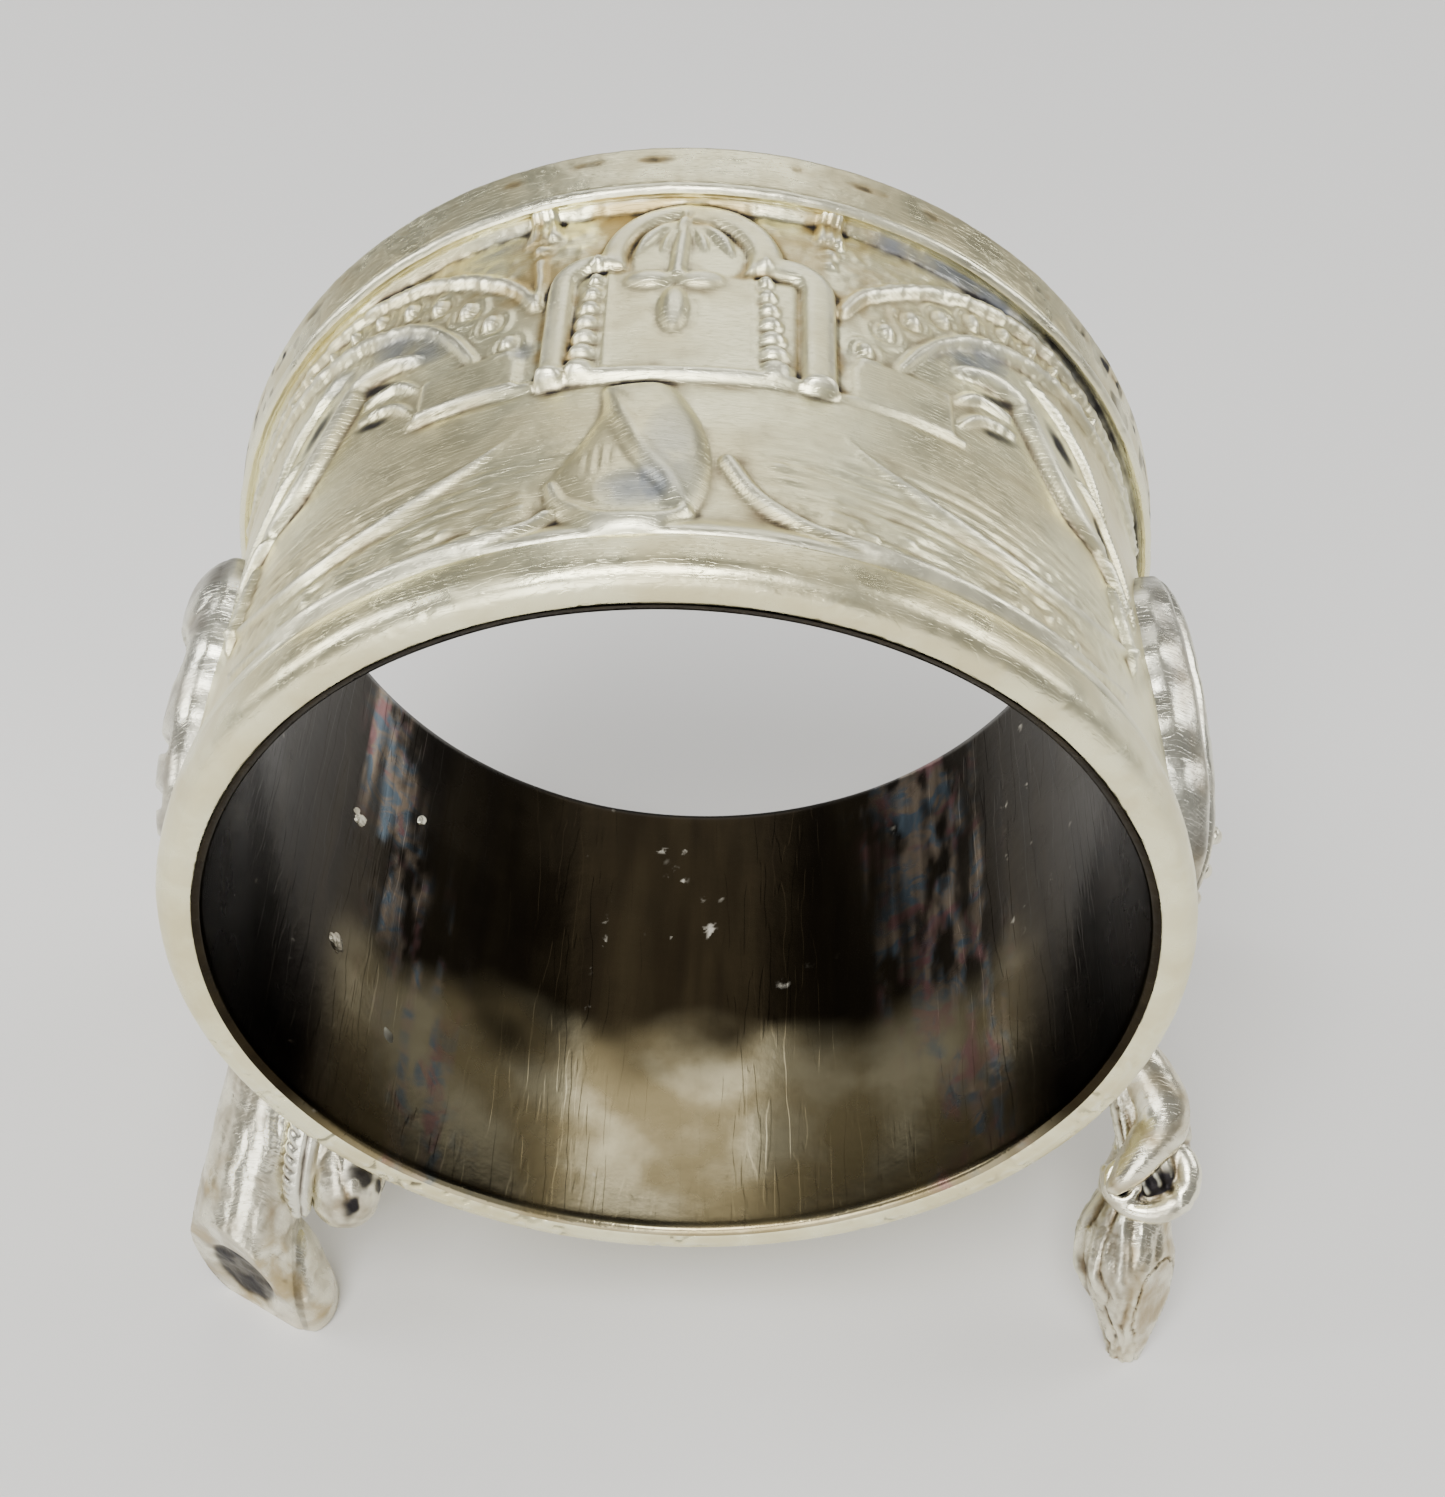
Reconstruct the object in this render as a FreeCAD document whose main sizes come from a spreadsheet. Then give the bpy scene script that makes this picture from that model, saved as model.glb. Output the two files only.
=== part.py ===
import FreeCAD, Part
import os
import Sketcher
from math import cos, radians, sin

# Footed napkin ring in silver plate: a smooth liner inside a stamped jacket, closed by a rolled rim
# in front and a border band behind, carried on four cast branch feet with a cast leaf on each flank.
#
# +Z is up and +Y points from the front rim to the rear rim. The origin lies on the table, below the
# middle of the ring's axis. Every piece is drawn about the ring's axis and then raised by
# centre_height, so "z" inside the functions is counted from that axis.

DIMENSIONS = [
    ("bore_radius", 20.0),
    ("liner_wall", 0.5),
    ("ring_length", 28.0),
    ("jacket_radius", 21.6),
    ("relief_height", 0.7),
    ("rim_radius", 22.0),
    ("rim_width", 2.0),
    ("rim_rounding", 0.95),
    ("liner_rounding", 0.22),
    ("band_width", 2.85),
    ("band_front_radius", 22.6),
    ("band_rear_radius", 22.9),
    ("edge_wire_radius", 0.32),
    ("edge_wire_ring_radius", 22.35),
    ("arch_half_width", 6.2),
    ("arch_lobe_radius", 4.0),
    ("arch_frame_width", 1.2),
    ("arch_shoulder_y", 7.0),
    ("arch_shoulder_rounding", 2.0),
    ("arch_lobe_y", 6.5),
    ("ledge_y", -1.75),
    ("ledge_width", 0.9),
    ("ledge_half_length", 11.6),
    ("boss_x", -2.2),
    ("boss_y", -7.5),
    ("boss_half_width", 3.2),
    ("boss_half_length", 4.25),
    ("boss_height", 1.1),
    ("centre_height", 29.6),
    ("half_width", 25.2),
    ("half_depth", 15.2),
    ("foot_spread", 22.0),
    ("foot_reach", 14.0),
    ("log_radius", 2.8),
    ("root_radius", 2.4),
    ("twig_radius", 0.9),
    ("bud_radius", 1.7),
    ("vine_radius", 1.0),
    ("burl_radius", 1.9),
    ("branch_radius", 1.6),
    ("branch_arch_radius", 4.5),
    ("branch_lift", 0.8),
    ("branch_leg_length", 5.2),
    ("leaf_half_length", 7.6),
    ("leaf_half_width", 4.6),
    ("leaf_thickness", 2.3),
    ("berry_radius", 0.5),
]

LEFT, RIGHT = -1, 1

# Centre lines of the castings. A row is x, y and z as fractions of foot_spread, foot_reach and
# centre_height, counted outwards, forwards and downwards from the ring's centre, and then the
# thickness as a fraction of that casting's radius in the sheet.
LOG = [(0.860, 0.330, 0.405, 0.79), (0.940, 0.590, 0.622, 0.93), (1.030, 0.880, 0.855, 1.00),
       (1.040, 0.960, 0.925, 0.98)]
TOE = [(0.985, 0.880, 0.845, 0.86), (0.945, 0.930, 0.905, 0.80), (0.905, 0.965, 0.960, 0.66),
       (0.890, 0.980, 1.040, 0.52)]
TWIG = [(0.774, 0.586, 0.468, 0.90), (0.832, 0.743, 0.574, 1.00), (0.855, 0.857, 0.703, 0.85)]
BUD = [(0.700, 0.540, 0.500, 0.70), (0.757, 0.730, 0.635, 0.82), (0.784, 0.830, 0.713, 0.98)]
ROOT = [(0.870, 0.350, 0.400, 0.48), (1.000, 0.660, 0.650, 0.55), (1.020, 0.860, 0.787, 1.00),
        (1.040, 0.943, 0.878, 0.76), (1.040, 1.010, 0.963, 0.44), (1.040, 1.025, 1.040, 0.36)]
VINE = [(0.865, 0.575, 0.385, 0.85), (1.030, 0.600, 0.500, 1.00), (1.078, 0.650, 0.570, 1.00),
        (0.995, 0.765, 0.627, 0.90), (0.950, 0.830, 0.665, 0.70)]
BURL = [(1.075, 0.600, 0.590, 0.62), (1.060, 0.730, 0.680, 1.00), (0.960, 0.800, 0.708, 0.70)]
BERRIES = [(23.5, -7.2, 1.6), (23.0, -8.4, 0.7), (22.5, -9.4, 0.0)]

# A rounded limb closes through these sections: distance past its end and size, per end radius.
ROUND_END = [(0.50, 0.84), (0.86, 0.46)]

# Middle of each leaf about the ring's centre (x counted outwards) and its slope in degrees.
LEAVES = [(LEFT, "left", (21.2, -3.2, 3.4), 34.0), (RIGHT, "right", (21.4, -2.7, 3.2), 27.0)]
LEAF_LEAN = 9.0
BRANCH_DROP = radians(20.0)

# A log is sawn off square to this normal, through this point, at its outer end.
LOG_CUT_POINT = (-21.9, -13.2, -26.4)
LOG_CUT_NORMAL = (-0.52, -0.82, -0.25)
CUT_BLOCK = 16.0


class Size:
    """A length that keeps its spreadsheet formula and its present value together."""

    def __init__(self, text, value):
        self.text = text
        self.value = value

    def _join(self, sign, other, value):
        text = other.text if isinstance(other, Size) else repr(float(other))
        return Size("(" + self.text + " " + sign + " " + text + ")", value)

    def __add__(self, other):
        return self._join("+", other, self.value + amount(other))

    def __sub__(self, other):
        return self._join("-", other, self.value - amount(other))

    def __mul__(self, other):
        return self._join("*", other, self.value * amount(other))


def amount(size):
    return size.value if isinstance(size, Size) else float(size)


doc = FreeCAD.newDocument("napkin_ring")
sheet = doc.addObject("Spreadsheet::Sheet", "dims")
D = {}
for row, (alias, value) in enumerate(DIMENSIONS, start=1):
    sheet.set("A%d" % row, alias)
    sheet.set("B%d" % row, str(value))
    sheet.setAlias("B%d" % row, alias)
    D[alias] = Size("dims." + alias, value)
doc.recompute()

ZERO = D["ring_length"] * 0.0
HALF = D["ring_length"] * 0.5
LINER_RADIUS = D["bore_radius"] + D["liner_wall"]
BAND_START = HALF - D["band_width"]
RIM_END = D["rim_width"] - HALF
RELIEF_RADIUS = D["jacket_radius"] + D["relief_height"]
pieces = []


def bind(item, prop, size):
    item.setExpression(prop, size.text)


def place(item, x, y, z, rotation=None):
    """Put an object at x, y, z, each bound to the sheet where it is a Size."""
    base = FreeCAD.Vector(amount(x), amount(y), amount(z))
    item.Placement = FreeCAD.Placement(base, rotation or FreeCAD.Rotation())
    for axis, size in (("x", x), ("y", y), ("z", z)):
        if isinstance(size, Size):
            bind(item, "Placement.Base." + axis, size)


def finish_piece(item, node):
    """Name a piece after its node and raise it so that its feet stand on the table."""
    item.Label = node
    bind(item, "Placement.Base.z", D["centre_height"])
    pieces.append(item)
    return item


def primitive(kind, name, **sizes):
    item = doc.addObject("Part::" + kind, name)
    for prop, size in sizes.items():
        bind(item, prop, size)
    return item


def across(name, radius):
    """A solid cylinder on the ring's axis that runs the whole length of the ring."""
    rod = primitive("Cylinder", name, Radius=radius, Height=D["ring_length"] * 1.4)
    place(rod, 0, D["ring_length"] * 0.7, 0, FreeCAD.Rotation(FreeCAD.Vector(1, 0, 0), 90))
    return rod


def cut(name, base, tool):
    item = doc.addObject("Part::Cut", name)
    item.Base = base
    item.Tool = tool
    return item


def common(name, base, tool):
    item = doc.addObject("Part::Common", name)
    item.Base = base
    item.Tool = tool
    return item


def fuse(name, shapes):
    item = doc.addObject("Part::MultiFuse", name)
    item.Shapes = shapes
    item.Refine = False
    return item


# ---- sheet-metal ring: bodies revolved about the ring's axis --------------------------------------

def plane(body, role):
    return [item for item in body.Origin.OriginFeatures if item.Role == role][0]


def revolved(name, corners):
    """Body made by turning a closed outline of (y, radius) corners about the ring's axis."""
    body = doc.addObject("PartDesign::Body", name + "_body")
    sketch = body.newObject("Sketcher::SketchObject", name + "_profile")
    sketch.AttachmentSupport = [(plane(body, "YZ_Plane"), "")]
    sketch.MapMode = "FlatFace"
    count = len(corners)
    points = [FreeCAD.Vector(y.value, radius.value, 0) for y, radius in corners]
    for i in range(count):
        sketch.addGeometry(Part.LineSegment(points[i], points[(i + 1) % count]))
    for i in range(count):
        sketch.addConstraint(Sketcher.Constraint("Coincident", i, 2, (i + 1) % count, 1))
    for i, corner in enumerate(corners):
        for kind, size in zip(("DistanceX", "DistanceY"), corner):
            label = "%s_%d" % (kind, i)
            index = sketch.addConstraint(Sketcher.Constraint(kind, -1, 1, i, 1, size.value))
            sketch.renameConstraint(index, label)
            sketch.setExpression("Constraints." + label, size.text)
    turn = body.newObject("PartDesign::Revolution", name + "_turn")
    turn.Profile = sketch
    turn.ReferenceAxis = (sketch, ["H_Axis"])
    turn.Angle = 360.0
    doc.recompute()
    return body


def round_edges(body, name, radius, wanted):
    """Fillet the circular edges whose (y, radius) is in the wanted list."""
    turn = body.Tip
    names = []
    for i, edge in enumerate(turn.Shape.Edges, start=1):
        if not hasattr(edge.Curve, "Radius"):
            continue
        for y, ring in wanted:
            if abs(edge.Curve.Center.y - y.value) < 1e-4 and abs(edge.Curve.Radius - ring.value) < 1e-4:
                names.append("Edge%d" % i)
    fillet = body.newObject("PartDesign::Fillet", name + "_rounding")
    fillet.Base = (turn, names)
    bind(fillet, "Radius", radius)
    doc.recompute()


def make_liner():
    front, inner, outer = HALF * -1.0, D["bore_radius"], LINER_RADIUS
    body = revolved("liner", [(front, inner), (HALF, inner), (HALF, outer), (front, outer)])
    round_edges(body, "liner", D["liner_rounding"], [(front, inner), (HALF, inner)])
    finish_piece(body, "liner_sleeve")


def make_front_rim():
    front, inner, outer = HALF * -1.0, LINER_RADIUS, D["rim_radius"]
    body = revolved("rim", [(front, inner), (RIM_END, inner), (RIM_END, outer), (front, outer)])
    round_edges(body, "rim", D["rim_rounding"], [(front, outer)])
    finish_piece(body, "front_rim_roll")


def make_rear_border():
    inner, low, high = LINER_RADIUS, D["band_front_radius"], D["band_rear_radius"]
    rear = HALF - 0.35
    body = revolved("band", [(BAND_START, inner), (HALF, inner), (HALF, high - 0.35),
                             (rear, high), (BAND_START, low)])
    groove = edge_wire("wire_groove")
    finish_piece(cut("band_with_groove", body, groove), "rear_border_band")
    finish_piece(edge_wire("edge_wire"), "rear_edge_wire")


def edge_wire(name):
    """Round wire bent into a hoop and half sunk into the front face of the border band."""
    wire = primitive("Torus", name, Radius1=D["edge_wire_ring_radius"], Radius2=D["edge_wire_radius"])
    place(wire, 0, BAND_START - 0.12, 0, FreeCAD.Rotation(FreeCAD.Vector(1, 0, 0), 90))
    return wire


# ---- stamped jacket -------------------------------------------------------------------------------

def arch_prism(name, inset):
    """Upright prism with the outline of the arched doorway, drawn in by inset all round."""
    wide = D["arch_half_width"] - inset
    foot = D["ledge_y"]
    depth = D["arch_shoulder_y"] - inset - foot
    door = primitive("Box", name + "_door", Length=wide * 2.0, Width=depth, Height=D["rim_radius"] * 1.2)
    place(door, wide * -1.0, foot, 0)
    doc.recompute()
    shoulders = doc.addObject("Part::Fillet", name + "_shoulders")
    shoulders.Base = door
    rounding = D["arch_shoulder_rounding"].value - inset.value * 0.5
    top = door.Shape.BoundBox.YMax
    upright = [i for i, edge in enumerate(door.Shape.Edges, start=1)
               if edge.BoundBox.YMin > top - 1e-4 and edge.BoundBox.ZLength > 1.0]
    shoulders.Edges = [(i, rounding, rounding) for i in upright]
    lobe = primitive("Cylinder", name + "_lobe", Radius=D["arch_lobe_radius"] - inset,
                     Height=D["rim_radius"] * 1.2)
    place(lobe, 0, D["arch_lobe_y"], 0)
    return fuse(name, [shoulders, lobe])


def make_jacket():
    start, end, inner, outer = RIM_END, BAND_START, LINER_RADIUS, D["jacket_radius"]
    sheet_metal = revolved("jacket", [(start, inner), (end, inner), (end, outer), (start, outer)])
    relief_top = across("relief_top", RELIEF_RADIUS)
    half_relief = across("half_relief", D["jacket_radius"] + D["relief_height"] * 0.5)
    ground = across("ground", LINER_RADIUS + 0.2)
    outline = arch_prism("arch_outline", ZERO)
    opening = arch_prism("arch_opening", D["arch_frame_width"])
    frame = cut("arch_frame", outline, cut("opening_above_panel", opening, half_relief))
    ledge = primitive("Box", "ledge_bar", Length=D["ledge_half_length"] * 2.0, Width=D["ledge_width"],
                      Height=D["rim_radius"] * 1.2)
    place(ledge, D["ledge_half_length"] * -1.0, D["ledge_y"] - D["ledge_width"] * 0.7, 0)
    raised = common("raised_work", fuse("arch_and_ledge", [frame, ledge]), relief_top)
    boss = primitive("Ellipsoid", "boss_shape", Radius1=D["boss_height"], Radius2=D["boss_half_length"],
                     Radius3=D["boss_half_width"])
    place(boss, D["boss_x"], D["boss_y"], D["jacket_radius"] - 0.1,
          FreeCAD.Rotation(FreeCAD.Vector(0, 0, 1), 90))
    top_side = cut("top_relief", fuse("top_work", [raised, boss]), ground)
    under_side = doc.addObject("Part::Mirroring", "under_relief")
    under_side.Source = top_side
    under_side.Base = FreeCAD.Vector(0, 0, 0)
    under_side.Normal = FreeCAD.Vector(0, 0, 1)
    finish_piece(fuse("jacket", [sheet_metal, top_side, under_side]), "embossed_jacket")


# ---- cast feet, branches and leaves ---------------------------------------------------------------

def station_points(stations, side):
    points = []
    for x, y, z, _ in stations:
        points.append((D["foot_spread"] * (side * x), D["foot_reach"] * -y, D["centre_height"] * -z))
    return points


def loft_ring(name, point, direction, side, radius):
    """One round section of a limb, square to the limb's direction."""
    ring = doc.addObject("Part::Circle", name)
    bind(ring, "Radius", radius)
    place(ring, *point, rotation=FreeCAD.Rotation(FreeCAD.Vector(side, 0, 0), FreeCAD.Vector(),
                                                  direction, "ZXY"))
    return ring


def limb(name, stations, radius, side, rounded=False):
    """A tapering limb lofted through round sections; a rounded one closes to a blunt tip."""
    points = station_points(stations, side)
    spots = [FreeCAD.Vector(*[amount(size) for size in point]) for point in points]
    rings = []
    for i, (point, station) in enumerate(zip(points, stations)):
        ahead = spots[min(i + 1, len(spots) - 1)] - spots[max(i - 1, 0)]
        rings.append(loft_ring("%s_ring_%d" % (name, i), point, ahead, side, radius * station[3]))
    if rounded:
        ahead = (spots[-1] - spots[-2]).normalize()
        end_radius = radius * stations[-1][3]
        for reach, shrink in ROUND_END:
            point = [size + end_radius * (reach * way) for size, way in zip(points[-1], ahead)]
            rings.append(loft_ring("%s_tip_%d" % (name, int(reach * 100)), point, ahead, side,
                                   end_radius * shrink))
    loft = doc.addObject("Part::Loft", name)
    loft.Sections = rings
    loft.Solid = True
    loft.Ruled = False
    return loft


def fitted(node, raw, neighbours, saddle, envelope):
    """Cut a casting to its seat on the jacket, to the pieces it touches and to the table."""
    shape = cut(node + "_seated", raw, saddle)
    for i, neighbour in enumerate(neighbours):
        shape = cut("%s_fitted_%d" % (node, i), shape, neighbour)
    return common(node + "_trimmed", shape, envelope)


def mirrored_to_rear(name, front):
    """The same shape at the rear, mirrored across the middle of the ring's length."""
    item = doc.addObject("Part::Mirroring", name)
    item.Source = front
    item.Base = FreeCAD.Vector(0, 0, 0)
    item.Normal = FreeCAD.Vector(0, 1, 0)
    return item


def finish_pair(node, raw, neighbours, saddle, envelope):
    """A front casting and its mirrored twin at the rear; the %s in node takes the end's name."""
    front = finish_piece(fitted(node % "front", raw, neighbours, saddle, envelope), node % "front")
    rear = mirrored_to_rear(node % "rear" + "_casting", front)
    rear.Label = node % "rear"
    pieces.append(rear)


def saw_block():
    """The block that saws a log off at a slant, its face square to the cut's normal."""
    turn = FreeCAD.Rotation(FreeCAD.Vector(0, 0, 1), FreeCAD.Vector(*LOG_CUT_NORMAL))
    middle = turn.multVec(FreeCAD.Vector(CUT_BLOCK / 2, CUT_BLOCK / 2, 0))
    corner = FreeCAD.Vector(*LOG_CUT_POINT) - middle
    block = primitive("Box", "saw_block", Length=ZERO + CUT_BLOCK, Width=ZERO + CUT_BLOCK,
                      Height=ZERO + CUT_BLOCK)
    place(block, corner.x, corner.y, corner.z, turn)
    return block


def make_left_feet(saddle, envelope):
    """Stout sawn logs, each with a twig and a bud lying against its inner side."""
    log = limb("log", LOG, D["log_radius"], LEFT)
    toe = limb("toe", TOE, D["log_radius"], LEFT)
    sawn = cut("sawn_log", fuse("whole_log", [log, toe]), saw_block())
    twig = limb("twig", TWIG, D["twig_radius"], LEFT, rounded=True)
    bud = limb("bud", BUD, D["bud_radius"], LEFT, rounded=True)
    finish_pair("left_%s_log_foot", sawn, [], saddle, envelope)
    finish_pair("left_%s_twig", twig, [sawn], saddle, envelope)
    finish_pair("left_%s_bud", bud, [sawn, twig], saddle, envelope)
    return [sawn, twig, bud]


def make_right_feet(saddle, envelope):
    """Tapering roots, each with a vine and a curled burl wound round its upper part."""
    root = limb("root", ROOT, D["root_radius"], RIGHT)
    burl = limb("burl", BURL, D["burl_radius"], RIGHT, rounded=True)
    vine = limb("vine", VINE, D["vine_radius"], RIGHT, rounded=True)
    finish_pair("right_%s_root_foot", root, [], saddle, envelope)
    finish_pair("right_%s_burl", burl, [root], saddle, envelope)
    finish_pair("right_%s_vine", vine, [root, burl], saddle, envelope)
    return [root, burl, vine]


def branch_half_shape(side, label):
    """Front half of the arched branch that joins a front foot to a rear foot.

    It is a quarter hoop, lying against the flank BRANCH_DROP below the ring's middle, and a
    straight leg that runs down from the hoop's end into the foot.
    """
    outward = FreeCAD.Vector(side * cos(BRANCH_DROP), 0, -sin(BRANCH_DROP))
    upward = FreeCAD.Vector(side * sin(BRANCH_DROP), 0, cos(BRANCH_DROP))
    forward = FreeCAD.Vector(0, -1, 0)
    distance = D["jacket_radius"] + D["branch_lift"]
    hoop = primitive("Torus", label + "_hoop", Radius1=D["branch_arch_radius"], Radius2=D["branch_radius"])
    hoop.Angle3 = 90.0
    place(hoop, distance * outward.x, 0, distance * outward.z,
          FreeCAD.Rotation(forward, upward, forward.cross(upward), "XYZ"))
    leg = primitive("Cylinder", label + "_leg", Radius=D["branch_radius"], Height=D["branch_leg_length"])
    place(leg, distance * outward.x, D["branch_arch_radius"] * -1.0, distance * outward.z,
          FreeCAD.Rotation(FreeCAD.Vector(0, 0, 1), upward * -1.0))
    return fuse(label + "_branch_raw", [hoop, leg])


def leaf_shape(side, label, middle, slope):
    """A domed leaf lying on the flank, its length sloping up towards the rear rim."""
    x, y, z = middle
    blade = primitive("Ellipsoid", label + "_blade", Radius1=D["leaf_half_width"],
                      Radius2=D["leaf_thickness"], Radius3=D["leaf_half_length"])
    lean = FreeCAD.Rotation(FreeCAD.Vector(0, 1, 0), -side * LEAF_LEAN)
    tilt = FreeCAD.Rotation(FreeCAD.Vector(1, 0, 0), slope)
    seam_outwards = FreeCAD.Rotation(FreeCAD.Vector(0, 0, 1), 90 - side * 90)
    place(blade, side * x, y, z, lean.multiply(tilt).multiply(seam_outwards))
    return blade


def berry_shapes():
    """The small beads at the lower tip of the right leaf, a group of separate balls."""
    balls = []
    for i, (x, y, z) in enumerate(BERRIES):
        ball = primitive("Sphere", "berry_%d" % i, Radius=D["berry_radius"] - 0.04 * i)
        place(ball, x, y, z)
        balls.append(ball)
    return fuse("berry_group", balls)


def make_castings():
    saddle = across("saddle", D["jacket_radius"])
    envelope = primitive("Box", "envelope", Length=D["half_width"] * 2.0, Width=D["half_depth"] * 2.0,
                         Height=D["centre_height"] * 2.0)
    place(envelope, D["half_width"] * -1.0, D["half_depth"] * -1.0, D["centre_height"] * -1.0)
    feet = {LEFT: make_left_feet(saddle, envelope), RIGHT: make_right_feet(saddle, envelope)}
    for side, label, middle, slope in LEAVES:
        branch = branch_half_shape(side, label)
        leaf = leaf_shape(side, label, middle, slope)
        half = fitted(label + "_branch_half", branch, feet[side], saddle, envelope)
        twin = mirrored_to_rear(label + "_branch_twin", half)
        finish_piece(fuse(label + "_whole_branch", [half, twin]), label + "_flank_branch")
        below = [branch, mirrored_to_rear(label + "_rear_branch_raw", branch)]
        finish_piece(fitted(label + "_leaf", leaf, below, saddle, envelope), label + "_flank_leaf")
        if side == RIGHT:
            berries = fitted("berries", berry_shapes(), [leaf, branch], saddle, envelope)
            finish_piece(berries, "right_leaf_berries")


def check_and_write():
    doc.recompute()
    for item in doc.Objects:
        if "Invalid" in item.State or "Error" in item.State:
            raise RuntimeError("%s failed: %s" % (item.Label, item.State))
    os.makedirs("parts", exist_ok=True)
    for item in pieces:
        shape = item.Shape
        if shape.isNull() or not shape.isValid() or shape.Volume <= 0 or not shape.Solids:
            raise RuntimeError("%s has no sound shape" % item.Label)
    for item in pieces:
        item.Shape.exportStep(os.path.join("parts", item.Label + ".step"))
        box = item.Shape.BoundBox
        print("%-24s solids %d  volume %8.2f  x %.2f..%.2f  y %.2f..%.2f  z %.2f..%.2f" % (
            item.Label, len(item.Shape.Solids), item.Shape.Volume, box.XMin, box.XMax,
            box.YMin, box.YMax, box.ZMin, box.ZMax))


make_liner()
make_front_rim()
make_rear_border()
make_jacket()
make_castings()
check_and_write()
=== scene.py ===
"""An antique silver-plated napkin ring with a stamped jacket, on cast branch feet.

The shapes are worked out in millimetres from the ring's centre, +Y along the bore away from the rolled
rim and +Z up, and put into the shared frame in metres by add_piece.
"""
import math

import bpy
import numpy as np
from mathutils import Matrix, Vector


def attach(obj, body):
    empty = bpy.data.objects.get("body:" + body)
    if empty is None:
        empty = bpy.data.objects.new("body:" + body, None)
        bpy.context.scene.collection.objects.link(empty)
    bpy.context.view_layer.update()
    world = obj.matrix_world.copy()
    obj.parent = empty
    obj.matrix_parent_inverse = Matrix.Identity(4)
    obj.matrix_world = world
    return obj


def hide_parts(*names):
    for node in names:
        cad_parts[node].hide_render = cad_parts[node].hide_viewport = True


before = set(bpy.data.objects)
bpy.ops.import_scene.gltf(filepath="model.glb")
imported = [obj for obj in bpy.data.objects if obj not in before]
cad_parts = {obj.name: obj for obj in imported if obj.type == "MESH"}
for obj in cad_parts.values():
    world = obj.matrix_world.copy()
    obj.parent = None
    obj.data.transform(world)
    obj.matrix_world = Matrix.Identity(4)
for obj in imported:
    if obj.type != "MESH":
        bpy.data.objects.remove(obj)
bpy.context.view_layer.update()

RING_HEIGHT = 29.6
JACKET_RADIUS = 21.6
BORE_RADIUS = 20.0
MAP_RADIUS = 22.0
BAND_RADIUS = 22.8


# ---------------------------------------------------------------- number tools

def smooth(low, high, value):
    """0 below low, 1 above high, and an even slope between."""
    t = np.clip((value - low) / (high - low), 0.0, 1.0)
    return t * t * (3.0 - 2.0 * t)


def lattice(ix, iy, iz, seed):
    """A fixed scattered value from 0 to 1 at each whole-numbered point."""
    n = (ix * 73856093) ^ (iy * 19349663) ^ (iz * 83492791) ^ (seed * 26544357)
    n = n & 0x7FFFFFFF
    n = ((n ^ (n >> 13)) * 1274126177) & 0x7FFFFFFF
    n = ((n ^ (n >> 15)) * 668265263) & 0x7FFFFFFF
    return (n & 0xFFFF) / 65535.0


def noise(points, scale, seed=1):
    """Smooth noise from 0 to 1; scale is in waves per millimetre, one number or one per axis."""
    q = np.asarray(points) * scale
    i = np.floor(q).astype(np.int64)
    f = q - i
    f = f * f * (3.0 - 2.0 * f)
    total = np.zeros(q.shape[:-1])
    for dx in (0, 1):
        wx = f[..., 0] if dx else 1.0 - f[..., 0]
        for dy in (0, 1):
            wy = f[..., 1] if dy else 1.0 - f[..., 1]
            for dz in (0, 1):
                wz = f[..., 2] if dz else 1.0 - f[..., 2]
                total += wx * wy * wz * lattice(i[..., 0] + dx, i[..., 1] + dy, i[..., 2] + dz, seed)
    return total


def rough(points, scale, seed=1, octaves=3):
    """Layered noise from about -0.5 to 0.5."""
    total = 0.0
    size = 1.0
    for k in range(octaves):
        total = total + size * (noise(points, np.asarray(scale) * 2.0 ** k, seed + 17 * k) - 0.5)
        size *= 0.5
    return total


def curve(points, per=6):
    """A smooth curve through the points."""
    p = np.array(points, float)
    ends = np.vstack([2 * p[0] - p[1], p, 2 * p[-1] - p[-2]])
    out = []
    for i in range(len(p) - 1):
        a, b, c, d = ends[i:i + 4]
        for t in np.arange(per) / per:
            out.append(0.5 * (2 * b + (c - a) * t + (2 * a - 5 * b + 4 * c - d) * t ** 2
                              + (3 * b - a - 3 * c + d) * t ** 3))
    out.append(p[-1])
    return np.array(out)


# ---------------------------------------------------------------- mesh tools

def grid_faces(rows, columns, closed):
    """Four-sided faces of a grid stored row by row; closed joins the last column to the first."""
    last = columns if closed else columns - 1
    i, j = np.meshgrid(np.arange(rows - 1), np.arange(last), indexing="ij")
    k = (j + 1) % columns
    quads = np.stack([i * columns + j, i * columns + k, (i + 1) * columns + k, (i + 1) * columns + j], -1)
    return quads.reshape(-1, 4)


def new_mesh(name, points, faces):
    mesh = bpy.data.meshes.new(name)
    mesh.from_pydata(np.asarray(points).reshape(-1, 3).tolist(), [], [list(map(int, f)) for f in faces])
    mesh.update()
    return mesh


def read_points(mesh):
    flat = np.zeros(len(mesh.vertices) * 3)
    mesh.vertices.foreach_get("co", flat)
    return flat.reshape(-1, 3)


def read_normals(mesh):
    flat = np.zeros(len(mesh.vertices) * 3)
    mesh.vertices.foreach_get("normal", flat)
    return flat.reshape(-1, 3)


def write_points(mesh, points):
    mesh.vertices.foreach_set("co", np.asarray(points, np.float32).ravel())
    mesh.update()


def read_edges(mesh):
    flat = np.zeros(len(mesh.edges) * 2, np.int64)
    mesh.edges.foreach_get("vertices", flat)
    return flat.reshape(-1, 2)


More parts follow.
